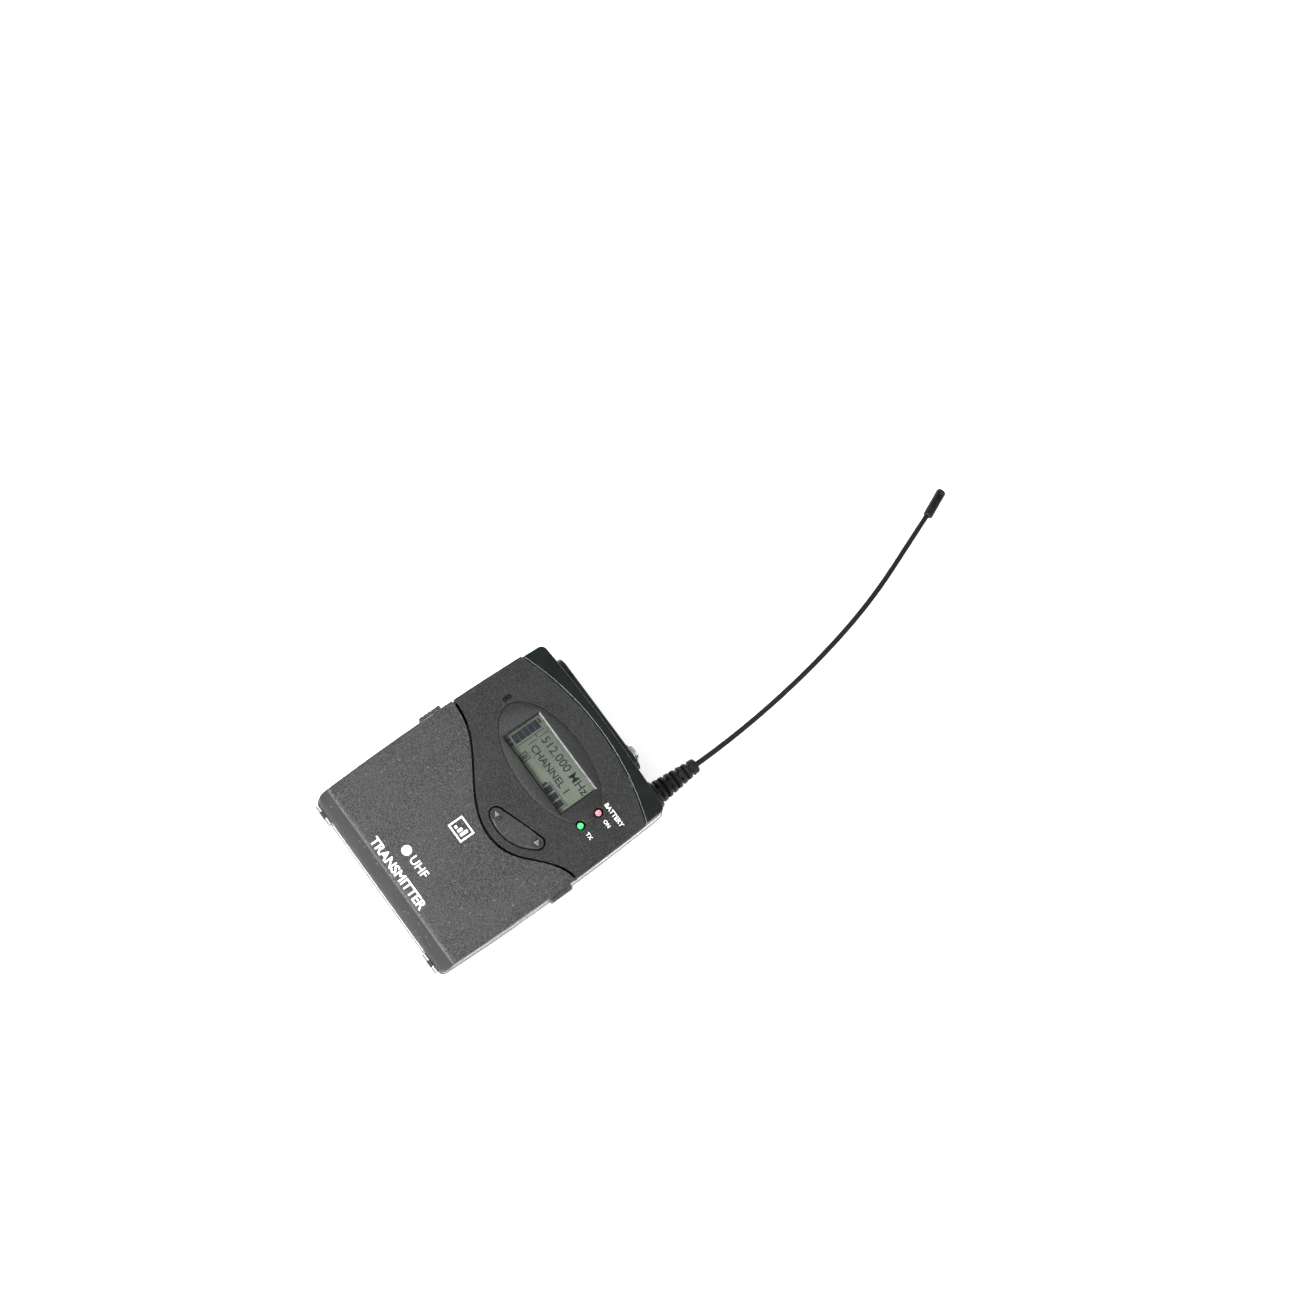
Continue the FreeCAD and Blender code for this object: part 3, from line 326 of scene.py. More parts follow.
# ---- Catches
# The two side buttons that hold the cover shut: small moulded levers of the same plastic,
# smoother where thumbs press.
def mottled(name, patch, dark, light, gloss, depth, bumps=None, specular=0.5):
    """Two tones in soft patches. PATCH: size, detail and limits. GLOSS: one value, or two."""
    size, detail, start, end = patch
    low_gloss, high_gloss = gloss if isinstance(gloss, tuple) else (gloss, gloss)
    material, tree, shader = finish(name, dark, low_gloss)
    shader.inputs["Specular IOR Level"].default_value = specular
    patches = spread(tree, grain(tree, size, detail), start, end)
    tree.links.new(blend_colours(tree, patches, dark, light), shader.inputs["Base Color"])
    if high_gloss > low_gloss:
        tree.links.new(spread(tree, patches, 0, 1, low_gloss, high_gloss),
                       shader.inputs["Roughness"])
    relief(tree, shader, grain(tree, *bumps) if bumps else patches, depth)
    return material


catch_plastic = mottled("catch_plastic", (0.0016, 4, 0.35, 0.65), (0.024, 0.025, 0.024),
                        (0.045, 0.046, 0.044), (0.36, 0.5), 0.000018, bumps=(0.00032, 3))
dress(catch_plastic, "catch_left", "catch_right")


# ---- Top cap
# A die-cast cap over the antenna end with a greenish-black crinkle paint, bright along the edge
# where it meets the panel.
cap_metal, tree, shader = finish("cap_paint", (0.012, 0.016, 0.016), 0.36, 0.1)
shader.inputs["Specular IOR Level"].default_value = 0.3
crinkle = total(tree, grain(tree, 0.00042, 4), pebbles(tree, 0.0006), 0.5)
cap_specks = spread(tree, grain(tree, 0.0003, 3), 0.45, 0.75)
bared = product(tree, edges(tree, 0.0005), spread(tree, grain(tree, 0.0015, 6), 0.22, 0.36))
cap_colour = blend_colours(tree, cap_specks, (0.002, 0.004, 0.004), (0.012, 0.018, 0.018))
tree.links.new(blend_colours(tree, bared, cap_colour, (0.85, 0.86, 0.85)),
               shader.inputs["Base Color"])
tree.links.new(spread(tree, bared, 0, 1, 0.2, 0.9), shader.inputs["Metallic"])
tree.links.new(spread(tree, grain(tree, 0.006, 4), 0.3, 0.7, 0.3, 0.46), shader.inputs["Roughness"])
relief(tree, shader, crinkle, 0.00004)
dress(cap_metal, "top_cap")
cap_edge = nodes["top_cap"].modifiers.new("machined_edge", "BEVEL")
cap_edge.width = 0.3 * MM
cap_edge.segments = 1
cap_edge.limit_method = "ANGLE"
cap_edge.angle_limit = math.radians(50)


# ---- End bezel and mute slider
# A glossy black moulding screwed to the antenna end, round the microphone jack and the slot of
# the mute slider. The slider is grey plastic with a worn top.
bezel_plastic = mottled("bezel_plastic", (0.004, 5, 0.35, 0.65), (0.006, 0.007, 0.007),
                        (0.016, 0.017, 0.017), (0.24, 0.38), 0.00001, bumps=(0.0004, 3),
                        specular=0.35)
dress(bezel_plastic, "end_bezel")

slider_plastic, tree, shader = finish("slider_plastic", (0.3, 0.3, 0.3), 0.4)
slider_wear = product(tree, edges(tree, 0.0003), spread(tree, grain(tree, 0.0008, 4), 0.35, 0.6))
tree.links.new(blend_colours(tree, slider_wear, (0.26, 0.265, 0.265), (0.5, 0.5, 0.49)),
               shader.inputs["Base Color"])
tree.links.new(spread(tree, grain(tree, 0.001, 4), 0.3, 0.7, 0.34, 0.5), shader.inputs["Roughness"])
relief(tree, shader, grain(tree, 0.0002, 2), 0.000008)
dress(slider_plastic, "mute_slider")


# ---- Steel: hinge pins, springs, screws
# Drawn and nickel-plated steel, with faint drawing lines and dull spots where fingers or tools
# have touched it.
def plated_metal(name, dull, bright, gloss, line=0.0003):
    """Plated metal: two tones, fine lines along X and dull finger spots."""
    material, tree, shader = finish(name, bright, gloss, 1.0)
    spots = spread(tree, grain(tree, 0.0022, 5), 0.42, 0.68)
    lines = grain(tree, line, 2, stretch=(0.15, 1, 1))
    tree.links.new(blend_colours(tree, spots, bright, dull), shader.inputs["Base Color"])
    tree.links.new(spread(tree, spots, 0, 1, gloss, gloss + 0.2), shader.inputs["Roughness"])
    relief(tree, shader, lines, 0.000006)
    return material


pin_steel = plated_metal("pin_steel", (0.42, 0.41, 0.39), (0.62, 0.62, 0.61), 0.24)
spring_steel = plated_metal("spring_steel", (0.48, 0.46, 0.42), (0.72, 0.71, 0.69), 0.2)
screw_steel = plated_metal("screw_steel", (0.05, 0.05, 0.052), (0.12, 0.12, 0.125), 0.3)
contact_metal = plated_metal("contact_nickel", (0.5, 0.47, 0.4), (0.76, 0.74, 0.7), 0.22)
dress(pin_steel, "hinge_pin_left", "hinge_pin_right")
dress(spring_steel, "catch_spring_left", "catch_spring_right",
      "battery_spring_left", "battery_spring_right")
dress(screw_steel, "housing_screws", "board_screws")
dress(contact_metal, "plate_contact_left", "spring_seat_left", "bridge_contact",
      "jack_contacts", "antenna_nut", "antenna_contact")


# ---- Display surround, window frame and pane
# A dark moulded oval sits a little below the panel's face and frames the window. A glossy bezel
# lines the opening and holds a pane of clear acrylic over the liquid crystal.
def settle(piece, name, material, body):
    """Puts a finished piece's place in its mesh, dresses it and sets it on its body."""
    bpy.ops.object.select_all(action="DESELECT")
    piece.select_set(True)
    bpy.context.view_layer.objects.active = piece
    bpy.ops.object.transform_apply(location=True, rotation=True, scale=True)
    piece.name = name
    piece.data.name = name
    piece.data.materials.clear()
    piece.data.materials.append(material)
    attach(piece, body)
    return piece


def joined(pieces):
    """Several pieces made one mesh."""
    bpy.ops.object.select_all(action="DESELECT")
    for piece in pieces:
        piece.select_set(True)
    bpy.context.view_layer.objects.active = pieces[0]
    bpy.ops.object.transform_apply(location=True, rotation=True, scale=True)
    if len(pieces) > 1:
        bpy.ops.object.join()
    return bpy.context.object


def block(low, high):
    """A cuboid between two corners."""
    bpy.ops.object.select_all(action="DESELECT")
    bpy.ops.mesh.primitive_cube_add(size=1.0)
    piece = bpy.context.object
    piece.scale = Vector(high) - Vector(low)
    piece.location = (Vector(high) + Vector(low)) / 2
    bpy.ops.object.transform_apply(location=True, rotation=True, scale=True)
    return piece


def disc(radius, height, foot, sides=48, top_radius=None, lying=False):
    """A cylinder or cone standing on FOOT along Z, or lying along Y."""
    bpy.ops.object.select_all(action="DESELECT")
    top = radius if top_radius is None else top_radius
    bpy.ops.mesh.primitive_cone_add(vertices=sides, radius1=radius, radius2=top, depth=height)
    piece = bpy.context.object
    half = Vector((0, height / 2, 0)) if lying else Vector((0, 0, height / 2))
    piece.location = Vector(foot) + half
    if lying:
        piece.rotation_euler.x = -math.pi / 2
    bpy.ops.object.transform_apply(location=True, rotation=True, scale=True)
    return piece


def carved(piece, tool):
    """PIECE with TOOL cut away."""
    cut = piece.modifiers.new("cut", "BOOLEAN")
    cut.operation = "DIFFERENCE"
    cut.solver = "EXACT"
    cut.object = tool
    bpy.context.view_layer.objects.active = piece
    bpy.ops.object.modifier_apply(modifier="cut")
    bpy.data.objects.remove(tool)
    return piece


def softened(piece, width, segments=2, angle=40):
    """Rounds the edges sharper than ANGLE degrees."""
    rounding = piece.modifiers.new("rounding", "BEVEL")
    rounding.width = width
    rounding.segments = segments
    rounding.limit_method = "ANGLE"
    rounding.angle_limit = math.radians(angle)
    bpy.context.view_layer.objects.active = piece
    bpy.ops.object.modifier_apply(modifier="rounding")
    piece.select_set(True)
    bpy.ops.object.shade_smooth_by_angle(angle=math.radians(30))
    return piece


def centre(name):
    """The middle of a CAD node's box."""
    low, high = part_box(name)
    return (low + high) / 2


lens_low, lens_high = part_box("display_lens")
lens_mid = centre("display_lens")
lcd_mid = centre("lcd_glass")
plate_top = lens_high.z - 0.24 * MM
window_half = Vector((14.15 * MM, 6.65 * MM, 0))

plate = disc(1.0, plate_top - lens_low.z, (0, 0, 0), 160)
plate.scale = ((lens_high.x - lens_low.x) / 2, (lens_high.y - lens_low.y) / 2, 1)
plate.location = (lens_mid.x, lens_mid.y, lens_low.z)
bpy.ops.object.transform_apply(location=True, rotation=True, scale=True)
plate = carved(plate, block((lcd_mid.x - window_half.x, lcd_mid.y - window_half.y, 0),
                            (lcd_mid.x + window_half.x, lcd_mid.y + window_half.y, 1)))
for lamp in ("led_red", "led_green"):
    plate = carved(plate, disc(1.5 * MM, 0.1, (centre(lamp).x, centre(lamp).y, -0.01)))
softened(plate, 0.14 * MM)
settle(plate, "display_surround", panel_plastic, "transmitter")
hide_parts("display_lens")

bezel_wall = 0.42 * MM
bezel_half = window_half - Vector((0.02 * MM, 0.02 * MM, 0))
inner_half = bezel_half - Vector((bezel_wall, bezel_wall, 0))
window_bezel = block((lcd_mid.x - bezel_half.x, lcd_mid.y - bezel_half.y, lens_low.z),
                     (lcd_mid.x + bezel_half.x, lcd_mid.y + bezel_half.y, plate_top - 0.04 * MM))
bpy.ops.object.mode_set(mode="EDIT")
bpy.ops.mesh.select_all(action="DESELECT")
bpy.ops.mesh.select_mode(type="FACE")
bpy.ops.object.mode_set(mode="OBJECT")
for face in window_bezel.data.polygons:
    face.select = abs(face.normal.z) > 0.5
bpy.ops.object.mode_set(mode="EDIT")
bpy.ops.mesh.inset(thickness=bezel_wall, depth=0)
bpy.ops.mesh.bridge_edge_loops()
bpy.ops.object.mode_set(mode="OBJECT")
for corner in window_bezel.data.vertices:
    inner = abs(corner.co.x - lcd_mid.x) < bezel_half.x - 0.1 * MM
    if inner and corner.co.z > lens_mid.z:
        corner.co.z -= bezel_wall
bezel_gloss = mottled("window_bezel_gloss", (0.0011, 4, 0.4, 0.7), (0.006, 0.006, 0.007),
                      (0.02, 0.02, 0.02), (0.10, 0.22), 0.000002)
settle(window_bezel, "window_bezel", bezel_gloss, "transmitter")
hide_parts("display_lens")

pane = block((lcd_mid.x - inner_half.x, lcd_mid.y - inner_half.y, lens_low.z + 0.02 * MM),
             (lcd_mid.x + inner_half.x, lcd_mid.y + inner_half.y, lens_low.z + 0.12 * MM))
pane_clear, tree, shader = finish("pane_acrylic", (0.02, 0.02, 0.02), 0.04)
hairlines = spread(tree, grain(tree, 0.0012, 5, stretch=(0.25, 1, 1)), 0.4, 0.72)
tree.links.new(spread(tree, hairlines, 0, 1, 0.03, 0.09), shader.inputs["Roughness"])
clear = tree.nodes.new("ShaderNodeBsdfTransparent")
film = tree.nodes.new("ShaderNodeMixShader")
tree.links.new(spread(tree, hairlines, 0, 1, 0.10, 0.14), film.inputs["Fac"])
tree.links.new(clear.outputs["BSDF"], film.inputs[1])
tree.links.new(shader.outputs["BSDF"], film.inputs[2])
tree.links.new(film.outputs["Shader"], tree.nodes["Material Output"].inputs["Surface"])
settle(pane, "display_pane", pane_clear, "transmitter")
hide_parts("display_lens")


# ---- Display module
# The liquid crystal glass sits in a black frame, with a milky backlight and two rubber contact
# strips under it.
lcd_green, tree, shader = finish("lcd_glass", (0.12, 0.145, 0.11), 0.3)
lcd_clouds = spread(tree, grain(tree, 0.016, 3), 0.3, 0.7)
lcd_dots = spread(tree, pebbles(tree, 0.00028), 0.3, 0.6)
# Painted light: the glass is coloured paler towards +X, standing in for light falling across it.
painted_light_ramp = spread(tree, own_axis(tree, "X"), -0.014, 0.014)
lcd_ground = blend_colours(tree, painted_light_ramp, (0.105, 0.128, 0.095), (0.165, 0.195, 0.150))
lcd_shade = blend_colours(tree, spread(tree, lcd_clouds, 0, 1, 0, 0.25), lcd_ground,
                          (0.10, 0.12, 0.09))
tree.links.new(blend_colours(tree, spread(tree, lcd_dots, 0, 1, 0, 0.2), lcd_shade,
                             (0.09, 0.11, 0.085)), shader.inputs["Base Color"])
tree.links.new(spread(tree, lcd_clouds, 0, 1, 0.24, 0.36), shader.inputs["Roughness"])
dress(lcd_green, "lcd_glass")

frame_black = mottled("lcd_frame_black", (0.0008, 5, 0.5, 0.72), (0.014, 0.014, 0.015),
                      (0.04, 0.04, 0.04), (0.42, 0.6), 0.00001)
dress(frame_black, "lcd_frame")

backlight_milk, tree, shader = finish("backlight_milk", (0.8, 0.84, 0.74), 0.4)
glow = spread(tree, grain(tree, 0.006, 2), 0.3, 0.7)
tree.links.new(blend_colours(tree, glow, (0.72, 0.78, 0.64), (0.85, 0.88, 0.8)),
               shader.inputs["Base Color"])
shader.inputs["Subsurface Weight"].default_value = 0.2
relief(tree, shader, pebbles(tree, 0.0005), 0.00001)
dress(backlight_milk, "backlight")

zebra, tree, shader = finish("zebra_rubber", (0.3, 0.3, 0.3), 0.7)
stripes = tree.nodes.new("ShaderNodeTexWave")
stripe_place = tree.nodes.new("ShaderNodeTexCoord")
stripes.inputs["Scale"].default_value = 900.0
tree.links.new(stripe_place.outputs["Object"], stripes.inputs["Vector"])
tree.links.new(blend_colours(tree, stripes.outputs["Fac"], (0.03, 0.03, 0.03), (0.5, 0.5, 0.48)),
               shader.inputs["Base Color"])
relief(tree, shader, stripes.outputs["Fac"], 0.00001)
dress(zebra, "contact_strips")


# ---- Display characters
# The dark figures of the liquid crystal: a level meter in the left column, dividing lines, the
# frequency, the channel name, and a battery gauge of three bars.
ink_thick = 0.03 * MM
lcd_ink = mottled("lcd_ink", (0.0006, 3, 0.3, 0.7), (0.010, 0.012, 0.018),
                  (0.024, 0.026, 0.036), 0.4, 0.000003, specular=0.2)


def lettering(words, length, middle, weight=0.0):
    """Flat characters LENGTH metres long, read along X, whose middle on the surface is MIDDLE."""
    bpy.ops.object.select_all(action="DESELECT")
    bpy.ops.object.text_add()
    text = bpy.context.object
    text.data.body = words
    text.data.offset = weight
    text.data.resolution_u = 4
    text.data.extrude = 0.5
    bpy.ops.object.convert(target="MESH")
    piece = bpy.context.object
    low = Vector(piece.bound_box[0])
    high = Vector(piece.bound_box[6])
    size = length / (high.x - low.x)
    piece.data.transform(Matrix.Translation(-(low + high) / 2))
    piece.data.transform(Matrix.Diagonal((size, size, ink_thick, 1)))
    piece.location = Vector(middle) + Vector((0, 0, ink_thick / 2))
    return piece


def bar(low, high, z):
    """A flat printed bar from LOW to HIGH, two corners in X and Y, lying on the height Z."""
    return block((*low, z), (*high, z + ink_thick))


lcd_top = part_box("lcd_glass")[1].z


def on_lcd(x, y):
    """A point of the window, millimetres right of and above its lower left corner."""
    corner = lcd_mid - window_half
    return (corner.x + x * MM, corner.y + y * MM)


def lcd_bars(*corners):
    """Dark bars, each given by its two opposite corners, x1, y1, x2, y2 in millimetres."""
    return [bar(on_lcd(x1, y1), on_lcd(x2, y2), lcd_top) for x1, y1, x2, y2 in corners]


meter = lcd_bars(*((1.0, 2.4 + 1.82 * step, 3.9, 4.1 + 1.82 * step) for step in range(5)),
                 (1.2, 11.7, 2.9, 12.3), (4.5, 2.2, 4.7, 11.6), (5.9, 5.0, 6.1, 8.3),
                 (5.9, 9.0, 6.1, 12.2), (4.7, 8.5, 5.8, 8.75))
settle(joined(meter), "lcd_level_meter", lcd_ink, "transmitter")

icon = lcd_bars((1.0, 0.7, 2.1, 1.7), (2.5, 0.7, 3.6, 1.7), (7.0, 0.8, 9.6, 1.05),
                (7.0, 3.15, 9.6, 3.4), (7.0, 1.05, 7.25, 3.15), (9.35, 1.05, 9.6, 3.15))
icon.append(lettering("0", 1.1 * MM, (*on_lcd(8.3, 2.1), lcd_top), 0.03))
settle(joined(icon), "lcd_lock_icon", lcd_ink, "transmitter")

figures = [lettering("512.000 MHz", 20.4 * MM, (*on_lcd(17.2, 10.2), lcd_top), 0.004),
           lettering("CHANNEL 1", 16.6 * MM, (*on_lcd(15.4, 6.0), lcd_top), 0.010)]
settle(joined(figures), "lcd_figures", lcd_ink, "transmitter")

gauge = lcd_bars(*((x, 0.8, x + 2.1, 3.3) for x in (19.0, 21.6, 24.2)), (18.4, 0.3, 26.9, 0.5),
                 (18.4, 3.6, 26.9, 3.8), (26.7, 0.5, 26.9, 3.6), (18.4, 0.5, 18.6, 3.6),
                 (17.7, 1.3, 18.4, 2.8))
settle(joined(gauge), "lcd_battery_gauge", lcd_ink, "transmitter")


# ---- Lamps and infrared window
# Two light-emitting diodes with moulded lenses in holes painted dark as shade: the red one is dim,
# the green one lit. Left of the display is the dark filter of the infrared port.
dome_foot = 23.9 * MM


def lamp_resin(name, rim, core, glow_strength):
    """Tinted resin with a brighter core; below the dome it is painted black as shade in its hole,
    so only the dome lets light out.
    """
    material, tree, shader = finish(name, core, 0.18)
    cloud = spread(tree, grain(tree, 0.0007, 2), 0.35, 0.65)
    dome = spread(tree, own_axis(tree, "Z"), dome_foot - 0.15 * MM, dome_foot)
    resin = blend_colours(tree, cloud, rim, core)
    # Painted shade: below the dome the resin is coloured near-black, as shade in its hole, which
    # also keeps the glow to the dome.
    colour = blend_colours(tree, dome, (0.004, 0.004, 0.004), resin)
    tree.links.new(colour, shader.inputs["Base Color"])
    tree.links.new(colour, shader.inputs["Emission Color"])
    shader.inputs["Emission Strength"].default_value = glow_strength
    tree.links.new(spread(tree, dome, 0, 1, 0, 0.6), shader.inputs["Coat Weight"])
    tree.links.new(spread(tree, dome, 0, 1, 0.05, 0.5), shader.inputs["Specular IOR Level"])
    shader.inputs["Coat Roughness"].default_value = 0.08
    relief(tree, shader, grain(tree, 0.0004, 2), 0.000006)
    return material


red_resin = lamp_resin("red_resin", (0.52, 0.10, 0.14), (0.85, 0.28, 0.33), 0.25)
green_resin = lamp_resin("green_resin", (0.03, 0.5, 0.09), (0.08, 0.85, 0.2), 0.45)
dress(red_resin, "led_red")
dress(green_resin, "led_green")

ir_plastic = mottled("infrared_filter", (0.0006, 3, 0.35, 0.7), (0.002, 0.002, 0.002),
                     (0.008, 0.006, 0.006), (0.14, 0.28), 0.000004)
dress(ir_plastic, "ir_window")


# ---- Rocker and keys
# The up/down rocker is a firm rubber oval. Under the cover are the power and set keys, hard
# plastic caps on a row of small dome switches.
rocker_rubber = eroded_plastic("rocker_rubber", (0.014, 0.015, 0.014), (0.034, 0.035, 0.034), 0.54)
dress(rocker_rubber, "rocker_button")

joints = frame["record"]["behaviour"]["joints"]
tilt = next(joint for joint in joints if joint["name"] == "rocker_tilt")
rocker_turn = math.atan2(-tilt["axis"][0], tilt["axis"][1])
rocker_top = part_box("rocker_button")[1].z


def on_rocker(along, across):
    """A point of the rocker's face, metres along and across it from its pivot."""
    spot = Matrix.Rotation(rocker_turn, 3, "Z") @ Vector((along, across, 0))
    return (tilt["pos_m"][0] + spot.x, tilt["pos_m"][1] + spot.y, rocker_top)


mark_rubber = eroded_plastic("mark_rubber", (0.002, 0.002, 0.002), (0.022, 0.023, 0.022), 0.6,
                             0.00012)
arrow_rubber = eroded_plastic("arrow_rubber", (0.080, 0.082, 0.080), (0.150, 0.153, 0.150), 0.45)
mark_reach = 7.0 * MM
for name, along, point_up in (("rocker_mark_down", -mark_reach, False),
                              ("rocker_mark_up", mark_reach, True)):
    bpy.ops.object.select_all(action="DESELECT")
    bpy.ops.mesh.primitive_torus_add(major_radius=1.72 * MM, minor_radius=0.11 * MM,
                                     major_segments=48, minor_segments=10)
    rim = bpy.context.object
    rim.location = on_rocker(along, 0)
    ground = disc(1.70 * MM, 0.05 * MM, on_rocker(along, 0))
    settle(joined([rim, ground]), name, mark_rubber, "rocker")
    arrow = disc(1.05 * MM, 0.16 * MM, (0, 0, 0), 3, 0.95 * MM)
    arrow.rotation_euler.z = rocker_turn + (0 if point_up else math.pi)
    arrow.location = on_rocker(along, 0)
    settle(joined([arrow]), name + "_arrow", arrow_rubber, "rocker")

key_plastic = mottled("key_plastic", (0.0012, 4, 0.35, 0.65), (0.085, 0.086, 0.088),
                      (0.14, 0.14, 0.142), (0.34, 0.52), 0.000015, bumps=(0.0003, 3))
dress(key_plastic, "power_button", "set_button")

switch_black = mottled("switch_black", (0.001, 4, 0.35, 0.65), (0.014, 0.014, 0.015),
                       (0.03, 0.03, 0.031), (0.32, 0.5), 0.000008)
dress(switch_black, "key_switches", "jack_body", "board_connector")


# ---- Battery tray, cells and pad
# One black moulding carries the two cells, the bulkhead and the keys. The cells wear printed
# sleeves with bare steel ends. A grey foam pad on the cover presses on them.
tray_plastic = eroded_plastic("tray_plastic", (0.016, 0.016, 0.017), (0.034, 0.034, 0.035), 0.5)
dress(tray_plastic, "inner_frame")

cell_sleeve, tree, shader = finish("cell_sleeve", (0.03, 0.03, 0.034), 0.28)
copper_band = spread(tree, own_axis(tree, "X"), 0.0100, 0.0102)
sleeve_scuff = spread(tree, grain(tree, 0.003, 6, stretch=(0.4, 1, 1)), 0.5, 0.75)
sleeve = blend_colours(tree, copper_band, (0.022, 0.023, 0.028), (0.45, 0.24, 0.10))
tree.links.new(blend_colours(tree, spread(tree, sleeve_scuff, 0, 1, 0, 0.25), sleeve,
                             (0.4, 0.4, 0.38)), shader.inputs["Base Color"])
tree.links.new(spread(tree, sleeve_scuff, 0, 1, 0.24, 0.45), shader.inputs["Roughness"])
tree.links.new(spread(tree, copper_band, 0, 1, 0.1, 0.7), shader.inputs["Metallic"])
relief(tree, shader, grain(tree, 0.0006, 3), 0.000006)
dress(cell_sleeve, "battery_upper", "battery_lower")

foam, tree, shader = finish("pad_foam", (0.06, 0.06, 0.062), 0.95)
cells_open = pebbles(tree, 0.0005)
tree.links.new(blend_colours(tree, spread(tree, cells_open, 0.1, 0.6), (0.035, 0.035, 0.036),
                             (0.09, 0.09, 0.092)), shader.inputs["Base Color"])
relief(tree, shader, cells_open, 0.0002)
dress(foam, "cover_pad")


# ---- Boards and their parts
# Two green circuit boards: copper tracks show through the solder mask as paler lines. On them
# are the shield can, chips, capacitors, the crystal and the mute switch.
board_green, tree, shader = finish("solder_mask", (0.01, 0.09, 0.04), 0.35)
board_place = tree.nodes.new("ShaderNodeTexCoord")
tracks = tree.nodes.new("ShaderNodeTexBrick")
tracks.offset = 0.37
tracks.inputs["Scale"].default_value = 260.0
tracks.inputs["Mortar Size"].default_value = 0.06
tracks.inputs["Color1"].default_value = (0.006, 0.06, 0.028, 1)
tracks.inputs["Color2"].default_value = (0.008, 0.075, 0.034, 1)
tracks.inputs["Mortar"].default_value = (0.03, 0.16, 0.07, 1)
tree.links.new(board_place.outputs["Object"], tracks.inputs["Vector"])
flux = spread(tree, grain(tree, 0.004, 4), 0.5, 0.75)
tree.links.new(blend_colours(tree, spread(tree, flux, 0, 1, 0, 0.3), tracks.outputs["Color"],
                             (0.09, 0.12, 0.05)), shader.inputs["Base Color"])
tree.links.new(spread(tree, flux, 0, 1, 0.28, 0.45), shader.inputs["Roughness"])
relief(tree, shader, tracks.outputs["Fac"], 0.00003)
dress(board_green, "main_board", "control_board")

chip_black, tree, shader = finish("chip_black", (0.02, 0.02, 0.022), 0.55)
chip_grain = grain(tree, 0.0002, 3)
tree.links.new(blend_colours(tree, chip_grain, (0.012, 0.012, 0.014), (0.035, 0.035, 0.037)),
               shader.inputs["Base Color"])
relief(tree, shader, chip_grain, 0.00001)
dress(chip_black, "board_chips")

capacitor_tan = mottled("capacitor_tan", (0.0006, 3, 0.35, 0.65), (0.28, 0.18, 0.10),
                        (0.46, 0.33, 0.2), 0.4, 0.000008)
dress(capacitor_tan, "board_capacitors")

can_metal = plated_metal("can_metal", (0.45, 0.45, 0.43), (0.68, 0.68, 0.66), 0.28, 0.0005)
dress(can_metal, "rf_shield", "crystal", "mute_switch_body")


# ---- Microphone jack
# The collar is turned brass with bright nickel plating. Its free end carries a fine locking
# thread for the microphone plug, and the plug's bore runs through it.
collar_nickel = plated_metal("collar_nickel", (0.66, 0.66, 0.65), (0.93, 0.93, 0.92), 0.07, 0.0002)
dress(collar_nickel, "antenna_base")

collar_low, collar_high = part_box("jack_collar")
collar_mid = centre("jack_collar")
bezel_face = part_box("end_bezel")[1].y
root_r = 2.88 * MM
jack_bore = next(m for m in frame["record"]["mounts"] if m["name"] == "jack_bore")
bore_r = jack_bore["dims"]["r_mm"] * MM
tube = disc(root_r, collar_high.y - collar_low.y, (collar_mid.x, collar_low.y, collar_mid.z),
            64, lying=True)
tube = carved(tube, disc(bore_r, 0.03, (collar_mid.x, collar_low.y - 0.005, collar_mid.z),
                         48, lying=True))
softened(tube, 0.16 * MM)

thread_pitch = 0.5 * MM
thread_turns = 4.4
thread_profile = ((-0.06, -0.19), (0.32, -0.05), (0.32, 0.05), (-0.06, 0.19))
bpy.ops.object.select_all(action="DESELECT")
bpy.ops.mesh.primitive_circle_add(vertices=4, radius=1.0, fill_type="NOTHING")
thread = bpy.context.object
for corner, (out, along) in zip(thread.data.vertices, thread_profile):
    corner.co = (root_r + out * MM, along * MM, 0)
winding = thread.modifiers.new("winding", "SCREW")
winding.axis = "Y"
winding.angle = 2 * math.pi * thread_turns
winding.screw_offset = thread_pitch * thread_turns
winding.steps = 220
winding.render_steps = 220
winding.use_merge_vertices = False
bpy.ops.object.modifier_apply(modifier="winding")
bpy.ops.object.mode_set(mode="EDIT")
bpy.ops.mesh.select_all(action="DESELECT")
bpy.ops.mesh.select_mode(type="EDGE")
bpy.ops.mesh.select_non_manifold()
bpy.ops.mesh.edge_face_add()
bpy.ops.mesh.select_all(action="SELECT")
bpy.ops.mesh.normals_make_consistent(inside=False)
bpy.ops.object.mode_set(mode="OBJECT")
thread.location = (collar_mid.x, bezel_face + 0.22 * MM, collar_mid.z)
threaded = settle(joined([tube, thread]), "jack_collar_threaded", collar_nickel,
                  "transmitter")
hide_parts("jack_collar")


# ---- Aerial
# A flexible rod moulded in matt black rubber. Its boot is a flange, seven rings joined by webs
# that stand alternately upright and flat, and a short sleeve. A thicker tip closes the rod.
aerial_rubber, tree, shader = finish("aerial_rubber", (0.008, 0.008, 0.009), 0.55)
shader.inputs["Specular IOR Level"].default_value = 0.25
# Paler patches in the colour: dust, and a painted sheen.
dust_and_sheen = spread(tree, grain(tree, 0.0012, 6), 0.52, 0.75)
matt = grain(tree, 0.00025, 3)
tree.links.new(blend_colours(tree, spread(tree, dust_and_sheen, 0, 1, 0, 0.5), (0.006, 0.006, 0.007),
                             (0.030, 0.030, 0.031)), shader.inputs["Base Color"])
tree.links.new(spread(tree, grain(tree, 0.006, 3), 0.3, 0.7, 0.42, 0.58),
               shader.inputs["Roughness"])
relief(tree, shader, matt, 0.000015)
dress(aerial_rubber, "antenna_whip")

